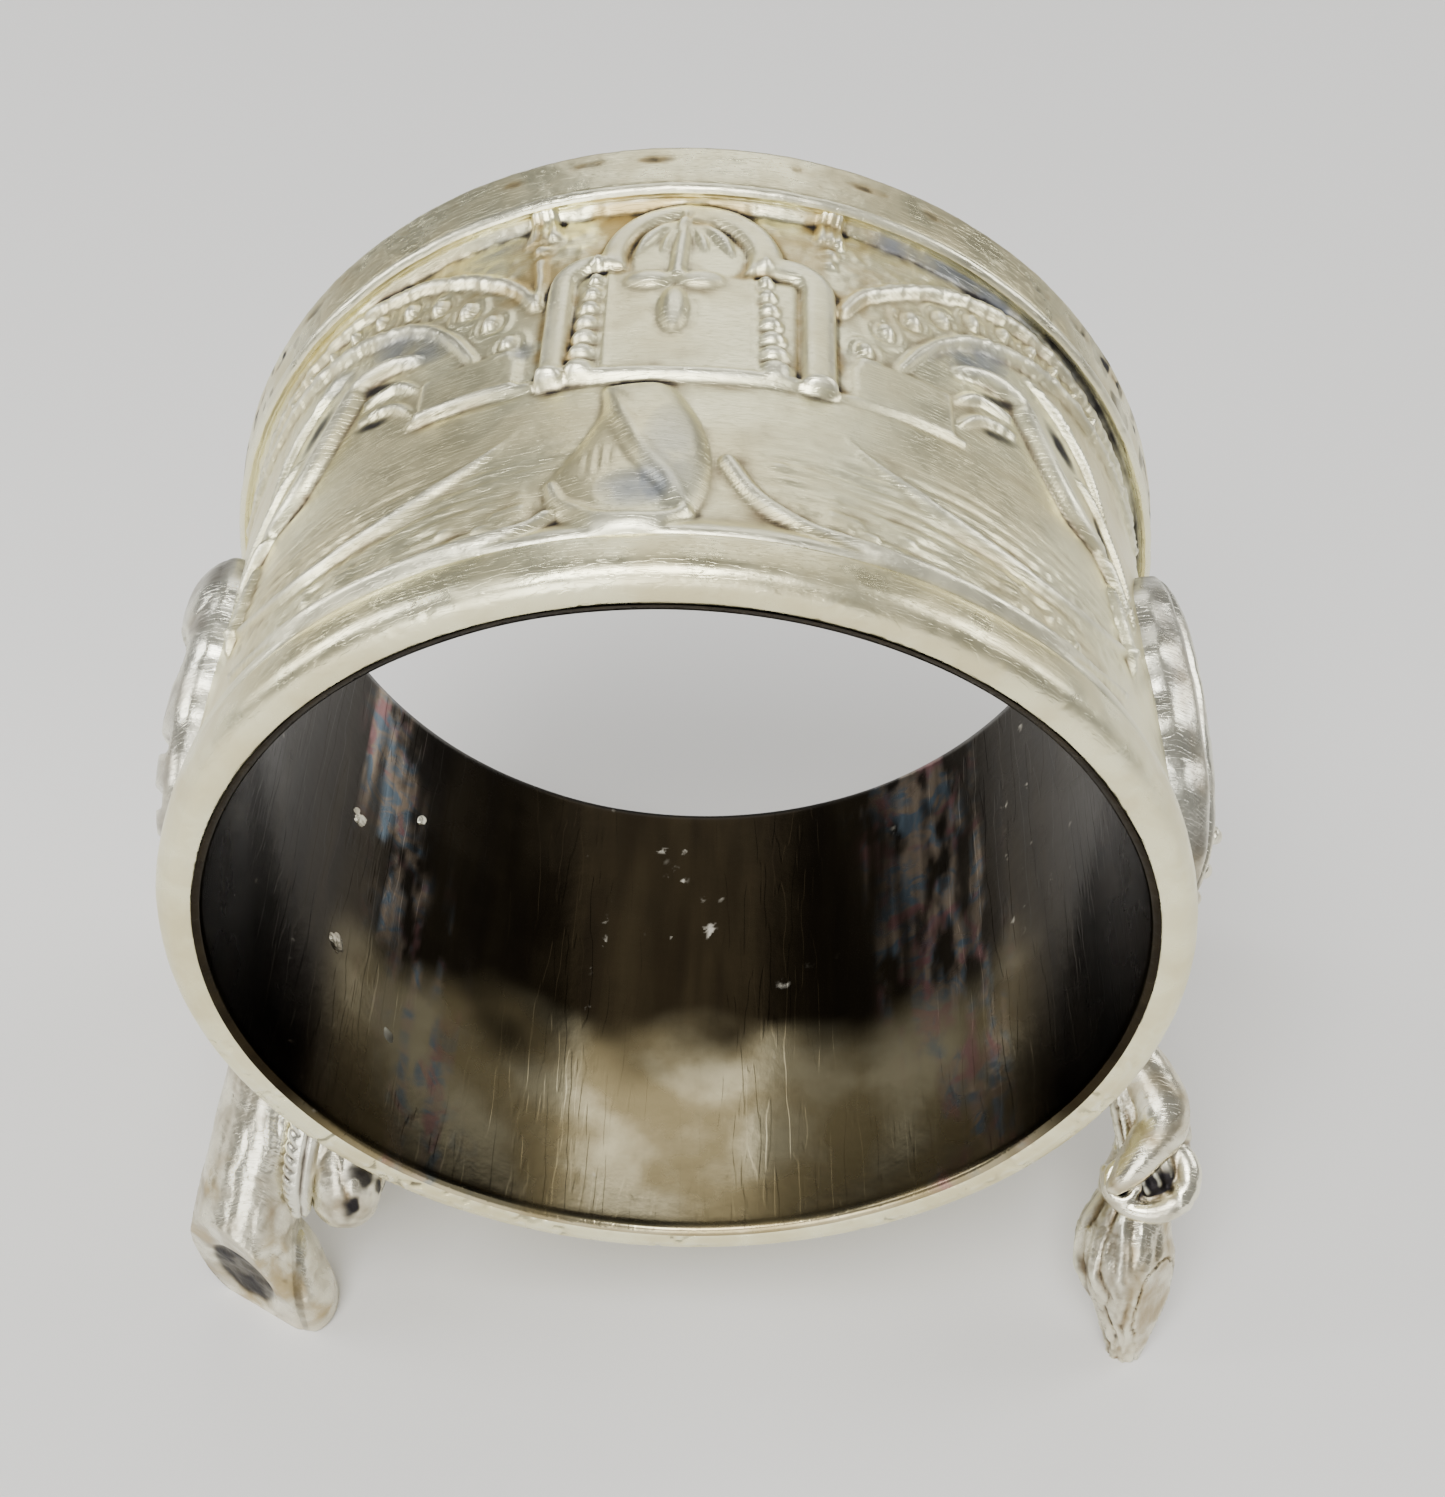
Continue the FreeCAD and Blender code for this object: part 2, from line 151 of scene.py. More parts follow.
def relax(values, edges, rounds, amount=0.5):
    """Each value moves part of the way to the mean of its neighbours."""
    values = np.array(values, float)
    count = np.bincount(edges.ravel(), minlength=len(values)).astype(float)
    count = np.maximum(count, 1.0)
    flat = values.ndim == 1
    columns = values.reshape(len(values), -1)
    for _ in range(rounds):
        mean = np.zeros_like(columns)
        for c in range(columns.shape[1]):
            mean[:, c] = np.bincount(edges[:, 0], columns[edges[:, 1], c], len(columns))
            mean[:, c] += np.bincount(edges[:, 1], columns[edges[:, 0], c], len(columns))
        columns = columns + amount * (mean / count[:, None] - columns)
    return columns[:, 0] if flat else columns


def hollows(points, normals, edges, reach, depth):
    """How far each point lies below (towards 1) or above (towards -1) the ground around it."""
    settled = relax(points, edges, reach, 0.6)
    below = ((settled - points) * normals).sum(1)
    return np.clip(relax(below, edges, 2) / depth, -1.0, 1.0)


def put(mesh, name, values):
    layer = mesh.attributes.new(name, "FLOAT", "POINT")
    layer.data.foreach_set("value", np.asarray(values, np.float32))


def add_piece(name, mesh, nodes, material, extra=None, reach=10, depth=0.10):
    """Finishes one piece: worn-edge measure, extra measures, place and material, and hides the parts it replaces.
    """
    points = read_points(mesh)
    put(mesh, "hollow", hollows(points, read_normals(mesh), read_edges(mesh), reach, depth))
    for key, values in (extra or {}).items():
        put(mesh, key, values)
    write_points(mesh, (points + (0.0, 0.0, RING_HEIGHT)) * 0.001)
    mesh.polygons.foreach_set("use_smooth", [True] * len(mesh.polygons))
    mesh.materials.append(material)
    piece = bpy.data.objects.new(name, mesh)
    bpy.context.scene.collection.objects.link(piece)
    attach(piece, "root")
    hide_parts(*nodes)
    return piece


def ring_points(angles, along, radius):
    """Points at an angle from the top, a place along the bore and a radius."""
    return np.stack([radius * np.sin(angles), along + 0.0 * angles, radius * np.cos(angles)], -1)


def lathe(path, columns):
    """Angles, places along the bore and radii of a turned surface, one row for each point of its path."""
    angles = np.arange(columns) / columns * 2.0 * math.pi
    a, y = np.meshgrid(angles, path[:, 0])
    r = np.meshgrid(angles, path[:, 1])[1]
    return a, y, r


# ---------------------------------------------------------------- stamped relief

def to_line(s, y, points):
    """Distance to a smooth curve on the unrolled jacket, and the fraction of the way along it."""
    c = curve(points)
    best = np.full(s.shape, 1e9)
    part = np.zeros(s.shape)
    for k in range(len(c) - 1):
        a = c[k]
        e = c[k + 1] - a
        u = np.clip(((s - a[0]) * e[0] + (y - a[1]) * e[1]) / (e @ e), 0.0, 1.0)
        d = np.hypot(s - a[0] - u * e[0], y - a[1] - u * e[1])
        near = d < best
        best = np.where(near, d, best)
        part = np.where(near, (k + u) / (len(c) - 1), part)
    return best, part


def ridge(s, y, points, width, height, ends=(1.0, 1.0), shape=0.9):
    """A rounded ridge along a curve, narrowing to the given share of its width at each end."""
    d, part = to_line(s, y, points)
    taper = np.interp(part, (0.0, 0.3, 0.7, 1.0), (ends[0], 1.0, 1.0, ends[1]))
    half = np.maximum(width * 0.5 * taper, 0.02)
    return height * np.sqrt(taper) * np.clip(1.0 - (d / half) ** 2, 0.0, 1.0) ** shape


def oval(s, y, at, size, height, turn=0.0, shape=0.7):
    """An oval bump; size is its half-width and half-length, turn its angle in degrees."""
    c, k = math.cos(math.radians(turn)), math.sin(math.radians(turn))
    u = ((s - at[0]) * c + (y - at[1]) * k) / size[0]
    v = (-(s - at[0]) * k + (y - at[1]) * c) / size[1]
    return height * np.clip(1.0 - u * u - v * v, 0.0, 1.0) ** shape


def ringed_bead(s, y, at, size, turn):
    """A pear-shaped bead inside a fine raised ring."""
    d = np.hypot((s - at[0]) / size, (y - at[1]) / (size * 1.05))
    return oval(s, y, at, (size * 0.50, size * 0.66), 0.42, turn) + 0.13 * np.exp(-((d - 1.0) / 0.16) ** 2)


def boxed(s, y, centre, half, corner):
    """Signed distance to a rounded rectangle."""
    u = np.abs(s - centre[0]) - half[0] + corner
    v = np.abs(y - centre[1]) - half[1] + corner
    outside = np.hypot(np.maximum(u, 0.0), np.maximum(v, 0.0))
    return outside + np.minimum(np.maximum(u, v), 0.0) - corner


def door_depth(s, y):
    """How far a place lies inside the doorway's outline, and how wide the frame is there."""
    inside = -np.minimum(boxed(s, y, (0.15, 1.5), (6.2, 5.5), 2.1), np.hypot(s - 0.1, y - 6.55) - 4.0)
    return inside, np.where(s > 0.0, 1.65, 1.25)


def doorway(s, y):
    """The arched doorway: raised frame, sunk panel, bead columns, palm and three-petalled flower."""
    inside, width = door_depth(s, y)
    across = np.clip((inside / width - 0.5) * 2.0, -1.0, 1.0)
    frame_part = 0.54 * (1.0 - across ** 4) ** 0.7 * (inside > 0.0)
    panel = 0.24 * smooth(-0.4, 0.2, inside - width)
    h = np.maximum(frame_part, panel)
    h -= 0.05 * np.exp(-((inside + 0.1) / 0.22) ** 2) + 0.05 * np.exp(-((inside - width) / 0.20) ** 2)
    for k in range(8):
        f = k / 7.0
        size = (0.30 + 0.44 * f, 0.34 + 0.15 * f)
        h += oval(s, y, (-3.85 - 0.45 * f, 6.1 - 7.2 * f), size, 0.36 + 0.14 * f)
        h += oval(s, y, (3.15 + 0.55 * f, 6.0 - 7.1 * f), size, 0.36 + 0.14 * f)
    h += ridge(s, y, [(-3.4, 6.6), (-3.3, 3.0), (-3.25, -1.3)], 0.30, 0.10)
    h += ridge(s, y, [(2.55, 6.6), (2.75, 3.0), (2.85, -1.3)], 0.30, 0.10)
    h += ridge(s, y, [(-0.5, 5.2), (-0.4, 7.2), (-0.25, 9.5)], 0.70, 0.34, (1.0, 0.5))
    for side in (-1, 1):
        x = -0.25 + 0.12 * side
        h += ridge(s, y, [(x, 9.2), (x + 0.75 * side, 8.7), (x + 1.45 * side, 7.9), (x + 1.9 * side, 6.8)],
                   0.75, 0.30, (0.5, 0.3))
        h += ridge(s, y, [(x, 9.0), (x + 0.55 * side, 8.0), (x + 0.8 * side, 6.9)], 0.50, 0.24, (0.5, 0.3))
    h += oval(s, y, (-1.65, 4.85), (1.10, 0.62), 0.36)
    h += oval(s, y, (0.50, 4.80), (1.10, 0.62), 0.36)
    h += oval(s, y, (-0.55, 2.75), (0.62, 1.60), 0.36)
    h -= 0.07 * np.exp(-((np.hypot((s + 0.55) / 0.95, (y - 2.75) / 2.0) - 0.95) / 0.13) ** 2) * (y < 3.4)
    return h * smooth(-2.15, -1.55, y)


def fan(s, y, side):
    """The concentric arches beside the doorway with their ringed beads."""
    q = s * side
    outer = [(6.5, 4.3), (7.6, 6.0), (9.8, 7.8), (12.6, 9.2), (16.3, 10.1), (20.0, 10.2),
             (25.0, 9.7), (29.0, 8.2)]
    inner = [(9.2, 1.6), (10.5, 3.8), (12.5, 5.8), (14.8, 7.1), (17.2, 7.9), (20.0, 8.3),
             (24.0, 7.9), (28.0, 6.4)]
    h = ridge(q, y, outer, 0.85, 0.38, (0.8, 0.5), 0.8)
    h += ridge(q, y, inner, 0.95, 0.40, (0.5, 0.5), 0.8)
    beads = [(7.6, 2.0, 0.80), (8.6, 3.9, 0.86), (9.9, 5.5, 0.88), (11.5, 6.8, 0.84), (13.2, 7.8, 0.78),
             (15.1, 8.6, 0.70), (16.9, 9.0, 0.62), (18.6, 9.2, 0.56), (20.3, 9.2, 0.52), (22.0, 9.1, 0.48)]
    for x, at, size in beads:
        h += ringed_bead(q, y, (x, at), size, 25.0)
    h -= 0.42 * ridge(q, y, [(10.7, 2.4), (11.8, 4.3), (13.6, 5.7), (15.4, 6.5)], 1.5, 0.7, (0.5, 0.3), 0.8)
    return h


def tassel(s, y, side):
    """The fringed tassel hanging from the border beside the doorway."""
    x = 6.1 if side > 0 else -6.6
    wide = 0.50 + (0.10 if side > 0 else 0.24) * (11.2 - y)
    skirt = smooth(1.0, 0.75, np.abs(s - x) / wide) * smooth(8.9, 9.3, y)
    h = skirt * (0.30 + 0.08 * np.cos((s - x) * 15.0))
    h += oval(s, y, (x, 8.5), (0.52, 0.40), 0.28)
    h += oval(s, y, (x, 7.6), (0.34, 0.32), 0.22)
    if side < 0:
        h += ridge(s, y, [(x, 7.3), (x + 0.1, 5.9), (x + 0.15, 4.4)], 0.5, 0.28, (1.0, 0.2))
    return h


def wing(s, y, side):
    """The spread wing below the ledge: two long edges with fine lines and grains between them."""
    q = s * side
    low = [(1.9, -7.2), (2.9, -9.0), (4.3, -10.2), (6.0, -10.9), (8.6, -11.35), (12.5, -11.5), (17.0, -11.1),
           (21.5, -9.6)]
    high = [(6.6, -4.4), (8.2, -5.8), (10.4, -6.9), (13.0, -7.6), (16.2, -7.9), (19.5, -7.5), (23.0, -6.0)]
    if side < 0:
        low = [(4.9, -10.2)] + low[3:]
    h = ridge(q, y, low, 0.85, 0.44, (0.9, 0.4), 1.0)
    h += ridge(q, y, high, 0.70, 0.32, (0.1, 0.5), 1.1)
    d_low = to_line(q, y, low)[0]
    d_high = to_line(q, y, high)[0]
    inside = smooth(0.0, 0.8, d_low - 0.35) * smooth(11.0, 10.0, -y)
    inside = inside * smooth(2.6, 4.4, q) * smooth(23.0, 20.0, q)
    points = np.stack([q, y, 0.0 * q], -1)
    lines = 0.11 * np.sin(y * 8.5 + q * 0.8 + 2.5 * noise(points, 0.4, 15))
    lines = lines * noise(points, (0.5, 1.6, 1.0), 16)
    grains = 0.20 * smooth(0.52, 0.72, noise(points, (1.3, 2.1, 1.0), 17)) * smooth(3.2, 0.8, d_low)
    scales = 0.045 * np.abs(np.sin(q * 3.4 + y * 1.6)) * smooth(12.0, 14.0, q) * smooth(2.6, 0.6, d_high)
    between = smooth(-4.4, -6.4, y - 0.10 * (q - 6.0)) * smooth(0.2, 0.8, d_high)
    h += (lines + grains + scales) * inside * between
    h += 0.03 * inside * smooth(0.9, 0.2, d_high)
    return h


def bent_branch(s, y, side):
    """The bent limb and its leaves on the outer side of the fan, with deep hollows round it."""
    q = s * side
    limb = [(12.2, 3.6), (13.9, 4.2), (15.4, 3.9), (16.4, 2.4), (17.6, 0.4), (18.8, -0.9),
            (20.6, -1.7), (22.6, -3.4)]
    h = ridge(q, y, limb, 1.25, 0.62, (0.4, 0.5), 0.6)
    h += ridge(q, y, [(11.8, 1.2), (13.2, 2.3), (15.0, 2.4)], 0.55, 0.34, (0.3, 0.6))
    h += ridge(q, y, [(11.9, -0.4), (13.2, 0.9), (15.2, 1.4)], 0.50, 0.30, (0.3, 0.6))
    h += ridge(q, y, [(16.4, 6.6), (18.4, 5.9), (20.6, 4.2), (22.0, 1.6)], 0.70, 0.34, (0.3, 0.5))
    h += ridge(q, y, [(19.2, 2.8), (21.0, 1.8), (23.0, -0.4), (24.2, -3.0)], 0.60, 0.30, (0.3, 0.5))
    h += ridge(q, y, [(21.4, -3.2), (22.2, -5.4), (22.9, -7.0)], 1.0, 0.42, (0.5, 0.4))
    h -= oval(q, y, (14.3, 3.1), (1.7, 0.45), 0.28, 20.0)
    h -= oval(q, y, (14.4, 0.6), (1.7, 0.50), 0.28, 18.0)
    h -= oval(q, y, (18.6, 3.9), (1.9, 0.75), 0.32, -42.0)
    h -= oval(q, y, (21.6, 0.2), (1.5, 0.50), 0.40, -55.0)
    slab = boxed(q, y, (9.3, 0.0), (2.5, 1.55), 0.3)
    h += 0.22 * smooth(0.0, 0.35, -slab)
    h -= oval(q, y, (6.95, 1.2), (0.42, 0.55), 0.30)
    return h


def emblem(s, y):
    """The tilted shield-like boss under the doorway."""
    edge = curve([(-3.3, -2.3), (-0.7, -2.2), (0.6, -4.1), (1.3, -6.4), (1.35, -8.7), (0.8, -10.5),
                  (-0.5, -11.4), (-2.2, -11.5), (-3.7, -10.6), (-4.8, -9.2), (-5.0, -7.8), (-4.0, -5.9),
                  (-3.3, -4.0), (-3.3, -2.3)])
    inside = np.zeros(s.shape, bool)
    near = np.full(s.shape, 1e9)
    for a, b in zip(edge[:-1], edge[1:]):
        cross = (a[1] > y) != (b[1] > y)
        with np.errstate(divide="ignore", invalid="ignore"):
            at = (b[0] - a[0]) * (y - a[1]) / (b[1] - a[1]) + a[0]
        inside ^= cross & (s < at)
        e = b - a
        u = np.clip(((s - a[0]) * e[0] + (y - a[1]) * e[1]) / max(e @ e, 1e-9), 0.0, 1.0)
        near = np.minimum(near, np.hypot(s - a[0] - u * e[0], y - a[1] - u * e[1]))
    depth = np.where(inside, near, -near)
    spine = np.array([(-3.2, -2.4), (-2.3, -4.8), (-1.3, -7.4), (-0.4, -8.8), (0.5, -10.6)])
    split = s - np.interp(-y, -spine[:, 1], spine[:, 0])
    dome = 0.78 * (1.0 - np.exp(-np.maximum(depth, 0.0) / 0.65))
    h = dome * (0.74 + 0.26 * smooth(-0.9, 0.30, split))
    h = h + ridge(s, y, spine, 1.10, 0.14, (0.4, 0.8), 1.4) * smooth(0.0, 0.4, depth)
    lip = [(-5.0, -8.2), (-4.5, -9.7), (-3.5, -10.7), (-2.2, -11.35), (-0.8, -11.3), (0.5, -10.6)]
    h += ridge(s, y, lip, 1.20, 0.40, (0.4, 0.5), 0.9)
    h -= 0.10 * oval(s, y, (-1.7, -9.4), (1.3, 1.0), 1.0, 0.0, 0.4) * (split < -0.2)
    h += 0.06 * np.sin(s * 15.0) * oval(s, y, (-3.1, -7.4), (0.8, 0.9), 1.0)
    return h


def relief(s, y):
    """Height of the stamping over the plain sheet, in millimetres, on one half-turn of the jacket."""
    door = doorway(s, y)
    clear = smooth(0.25, -0.15, door_depth(s, y)[0]) * smooth(-2.0, -1.6, y)
    above = np.zeros(s.shape)
    for side in (-1, 1):
        half = (s * side > 0.0)
        above += half * (fan(s, y, side) + bent_branch(s, y, side)) * np.where(y > -2.0, clear, 1.0)
        above += half * tassel(s, y, side) * clear
        above += half * wing(s, y, side)
    points = np.stack([s, y, 0.0 * s], -1)
    stipple = noise(points, 3.1, 5) + 0.6 * noise(points, 6.0, 6)
    ground = smooth(3.0, 6.5, y) * clear
    h = door + above + 0.13 * (stipple - 0.8) * ground
    h += ridge(s, y, [(-12.0, -1.1), (-9.0, -1.35), (-4.0, -1.6), (0.0, -1.75), (4.0, -1.7), (12.2, -1.5)],
               0.80, 0.30, (0.6, 0.6), 0.8)
    h += oval(s, y, (-5.5, -1.7), (0.60, 0.42), 0.16) + oval(s, y, (5.5, -1.8), (0.60, 0.42), 0.16)
    step = 0.10 * smooth(-1.6, -2.3, y) * smooth(25.0, 18.0, np.abs(s))
    shield = emblem(s, y)
    return np.maximum(h + step, shield * smooth(-1.9, -2.6, y))


def make_jacket(material):
    """The stamped sheet: finer columns over the top half, and the same stamping repeated underneath."""
    fine = np.linspace(-1.40, 1.40, 500)
    coarse = np.linspace(1.40, 2.0 * math.pi - 1.40, 240)[1:-1]
    angles = np.concatenate([fine, coarse])
    places = np.linspace(-12.25, 11.2, 134)
    a, y = np.meshgrid(angles, places)
    turned = np.where(a > math.pi * 0.5, a - math.pi, a)
    s = turned * MAP_RADIUS
    h = relief(s, y)
    flank = smooth(29.5, 33.0, np.abs(s))
    h = h * (1.0 - flank)
    h = 0.5 * h + 0.125 * (np.roll(h, 1, 1) + np.roll(h, -1, 1) + np.vstack([h[:1], h[:-1]])
                           + np.vstack([h[1:], h[-1:]]))
    under = smooth(1.5, 1.9, np.abs(np.where(a > math.pi, a - 2 * math.pi, a)))
    h = h * (1.0 - 0.15 * under)
    radius = JACKET_RADIUS + 0.42 * smooth(-10.4, -11.7, y) - 0.55 * smooth(-11.8, -12.2, y) + h
    radius = radius + 0.48 * smooth(10.35, 10.85, y)
    flat = ring_points(a, y, MAP_RADIUS)
    radius = radius + 0.05 * rough(flat, 0.18, 3, 2) + 0.012 * rough(flat, 1.6, 9, 2)
    points = ring_points(a, y, radius)
    mesh = new_mesh("embossed_jacket_skin", points, grid_faces(len(places), len(angles), True))
    q = np.abs(s)
    blue = oval(q, y, (13.0, 4.9), (3.0, 1.1), 1.0, 38.0, 0.5)
    blue = blue + oval(s, y, (-0.2, -7.5), (1.3, 3.4), 0.55, 0.0, 0.5)
    blue += oval(s, y, (-1.6, -9.3), (1.6, 1.2), 0.9) + oval(q, y, (6.95, 1.2), (0.6, 0.7), 0.8)
    blue += smooth(9.6, 10.6, y) * smooth(7.5, 9.0, q) * smooth(26.0, 20.0, q) * (s > 0)
    blue += oval(s, y, (-8.6, 9.8), (2.0, 0.9), 0.7) + oval(s, y, (-17.8, 6.4), (1.6, 0.9), 0.8, -30.0)
    inside, width = door_depth(s, y)
    outline = np.exp(-((inside + 0.15) / 0.22) ** 2) + np.exp(-((inside - width - 0.05) / 0.18) ** 2)
    outline = np.clip(outline, 0.0, 1.0) * smooth(-1.9, -1.4, y)
    warm = smooth(2.5, 6.0, y) * smooth(12.0, 7.0, q) * np.where(s < 0, 1.0, 0.75)
    warm = warm * smooth(0.1, -0.2, inside)
    warm = np.maximum(warm, outline)
    dark = oval(q, y, (14.3, 3.1), (1.7, 0.5), 0.8, 20.0) + oval(q, y, (14.4, 0.6), (1.7, 0.5), 0.8, 18.0)
    dark += oval(q, y, (18.6, 3.9), (2.0, 0.8), 0.8, -42.0) + oval(q, y, (21.6, 0.2), (1.6, 0.5), 0.8, -55.0)
    # dark holds tarnish in the branch hollows and doorway outline, plus painted shadow: the strip just below the
    # rear band on the right (y 10.0 to 10.7), under the band's overhang.
    dark += 0.08 * outline + 0.7 * smooth(10.0, 10.7, y) * smooth(14.0, 18.0, s)
    extra = {"cool": np.clip(blue, 0, 1).ravel(), "warm": np.clip(warm, 0, 1).ravel(),
             "dark": np.clip(dark, 0, 1).ravel()}
    return add_piece("embossed_jacket_skin", mesh, ["embossed_jacket"], material,
                     extra, 14, 0.13)


# ---------------------------------------------------------------- turned pieces

def make_front_rim(material):
    path = curve([(-13.55, 20.22), (-13.86, 20.32), (-14.0, 20.58), (-14.03, 21.0), (-13.96, 21.42),
                  (-13.74, 21.76), (-13.38, 21.96), (-12.9, 22.03), (-12.4, 22.04), (-11.9, 22.00),
                  (-11.2, 21.70)], 4)
    a, y, r = lathe(path, 1000)
    flat = ring_points(a, y, r)
    front = smooth(-13.6, -13.95, y)
    worn = 0.030 * rough(flat, 0.25, 21, 2) + 0.020 * rough(flat, 1.2, 22, 3)
    pits = smooth(0.64, 0.80, noise(flat, 3.0, 23)) * smooth(0.35, 0.6, noise(flat, 0.3, 24))
    low = smooth(0.2, -0.6, np.cos(a))
    r = r + worn * (1.0 - front) - 0.05 * pits * front * low
    y = y + worn * front * 0.8 + 0.07 * pits * front * (0.3 + 0.7 * low)
    crease = np.exp(-((r - 21.05) / 0.10) ** 2) * front * low
    y = y - 0.035 * crease
    seam = math.radians(360.0 - 128.7)
    nick = np.exp(-((a - seam) * 22.0 / 0.16) ** 2)
    r = r - 0.10 * nick
    y = y + 0.10 * nick * front
    mesh = new_mesh("front_rim_roll_skin", ring_points(a, y, r), grid_faces(len(path), 1000, True))
    dark = 0.55 * pits * front * low + 0.7 * nick
    return add_piece("front_rim_roll_skin", mesh, ["front_rim_roll"], material,
                     {"dark": np.clip(dark, 0, 1).ravel(), "cool": np.zeros(a.size), "warm": np.full(a.size, 0.2)},
                     8, 0.05)


def make_rear_band(material):
    path = curve([(10.9, 22.1), (11.02, 22.44), (11.2, 22.6), (11.6, 22.67), (12.2, 22.74), (12.8, 22.80),
                  (13.3, 22.86), (13.62, 22.84), (13.86, 22.70), (13.98, 22.40), (14.0, 21.6),
                  (13.98, 20.75), (13.84, 20.45), (13.6, 20.4)], 5)
    a, y, r = lathe(path, 1100)
    s = a * BAND_RADIUS
    pitch = 2.0 * math.pi * BAND_RADIUS / 46.0
    place = (s / pitch) % 1.0 - 0.5
    number = np.floor(s / pitch).astype(np.int64)
    shift = lattice(number, 3, 7, 31)
    dash = np.clip(1.0 - (place / 0.34) ** 2 - ((y - 12.72 - 0.40 * (shift - 0.5)) / 0.30) ** 2, 0.0, 1.0)
    flat = ring_points(a, y, BAND_RADIUS)
    left = smooth(0.30, 0.62, noise(flat, 0.16, 33) + 0.10 * np.abs(np.sin(a)))
    broken = smooth(0.30, 0.60, noise(flat, 2.0, 34))
    outer = (r > 22.4)
    r = r - 0.03 * np.sqrt(dash) * left * broken * outer
    r = r + (0.030 * rough(flat, 0.3, 35, 2) + 0.026 * rough(flat, 1.6, 36, 3)) * outer
    mesh = new_mesh("rear_border_band_skin", ring_points(a, y, r), grid_faces(len(path), 1100, True))
    flank = smooth(0.45, 0.9, np.abs(np.sin(a)))
    dashes = np.sqrt(dash) * (0.45 + 0.55 * left) * (0.35 + 0.55 * broken)
    # Darker in the stamped dashes, and in blotches towards the band's flanks.
    dash_and_flank_dark = 0.68 * dashes + 0.55 * flank * smooth(0.50, 0.66, noise(flat, 1.3, 37)) * outer
    return add_piece("rear_border_band_skin", mesh, ["rear_border_band"], material,
                     {"dark": np.clip(dash_and_flank_dark, 0, 1).ravel(), "cool": np.full(a.size, 0.1),
                      "warm": np.clip(0.3 + 1.2 * dashes, 0, 1).ravel()}, 6, 0.08)


def make_edge_wire(material):
    turn = np.arange(15) / 14.0 * 2.0 * math.pi
    path = np.stack([11.03 - 0.31 * np.cos(turn), 22.35 + 0.31 * np.sin(turn)], -1)
    a, y, r = lathe(path, 900)
    flat = ring_points(a, y, MAP_RADIUS)
    r = r + 0.05 * rough(flat, 1.1, 41, 3)
    y = y + 0.05 * rough(flat, 0.4, 42, 2)
    mesh = new_mesh("rear_edge_wire_skin", ring_points(a, y, r), grid_faces(len(path), 900, True))
    return add_piece("rear_edge_wire_skin", mesh, ["rear_edge_wire"], material,
                     {"dark": np.zeros(a.size), "cool": np.zeros(a.size), "warm": np.full(a.size, 0.1)}, 4, 0.05)


def make_liner(material):
    """The plain sleeve, a little dented, with its tarnish laid in bands along the bore and a painted reflection of
    light low at the front.
    """
    ends = [(14.0, 20.44), (13.94, 20.16), (13.78, 20.02)]
    middle = [(v, BORE_RADIUS) for v in np.linspace(13.4, -13.4, 100)]
    path = np.array(ends + middle + [(-13.78, 20.02), (-13.94, 20.12), (-14.0, 20.40)])
    a, y, r = lathe(path, 640)
    flat = ring_points(a, y, BORE_RADIUS)
    r = r + 0.10 * rough(flat, (0.16, 0.05, 0.16), 51, 2) + 0.004 * rough(flat, (0.8, 0.12, 0.8), 52, 2)
    mesh = new_mesh("liner_sleeve_skin", ring_points(a, y, r), grid_faces(len(path), 640, True))
    degrees = np.degrees(a)
    streak = rough(flat, (1.6, 0.10, 1.6), 53, 3)
    left_band = np.exp(-((degrees - 226.0 - 0.72 * y + 9.0 * streak) / 4.5) ** 2)
    right_band = np.exp(-((degrees - 138.5 - 0.3 * y + 9.0 * streak) / 6.0) ** 2)
    patchy = smooth(-0.22, 0.18, rough(flat, (1.0, 0.35, 1.0), 54, 4))
    bloom = np.clip((left_band + right_band) * patchy, 0, 1)
    down = smooth(0.45, 0.85, -np.cos(a))
    edge = -2.6 + 3.4 * rough(flat, 0.22, 55, 3)
    # Painted reflection: the lower front of the bore is painted lighter, standing for light reflected in through
    # the front opening.
    painted_reflection = smooth(edge + 2.2, edge - 3.4, y) * down
    deep = smooth(0.05, 0.30, rough(flat, (0.9, 0.12, 0.9), 56, 4))
    spots = smooth(0.86, 0.93, noise(flat, 1.9, 57)) * smooth(0.55, 0.7, noise(flat, 0.2, 58))
    extra = {"bloom": bloom.ravel(), "painted_reflection": painted_reflection.ravel(), "deep": deep.ravel(), "spots": spots.ravel()}
    return add_piece("liner_sleeve_skin", mesh, ["liner_sleeve"], material,
                     extra, 8, 0.06)


# ---------------------------------------------------------------- castings

def frames_along(path):
    """A steady pair of cross directions at each point of a path."""
    ahead = np.gradient(path, axis=0)
    ahead /= np.linalg.norm(ahead, axis=1)[:, None]
    side = np.cross(ahead[0], (0.0, 1.0, 0.0))
    if np.linalg.norm(side) < 0.2:
        side = np.cross(ahead[0], (1.0, 0.0, 0.0))
    sides = []
    for t in ahead:
        side = side - t * (side @ t)
        side = side / np.linalg.norm(side)
        sides.append(side)
    sides = np.array(sides)
    return ahead, sides, np.cross(ahead, sides)


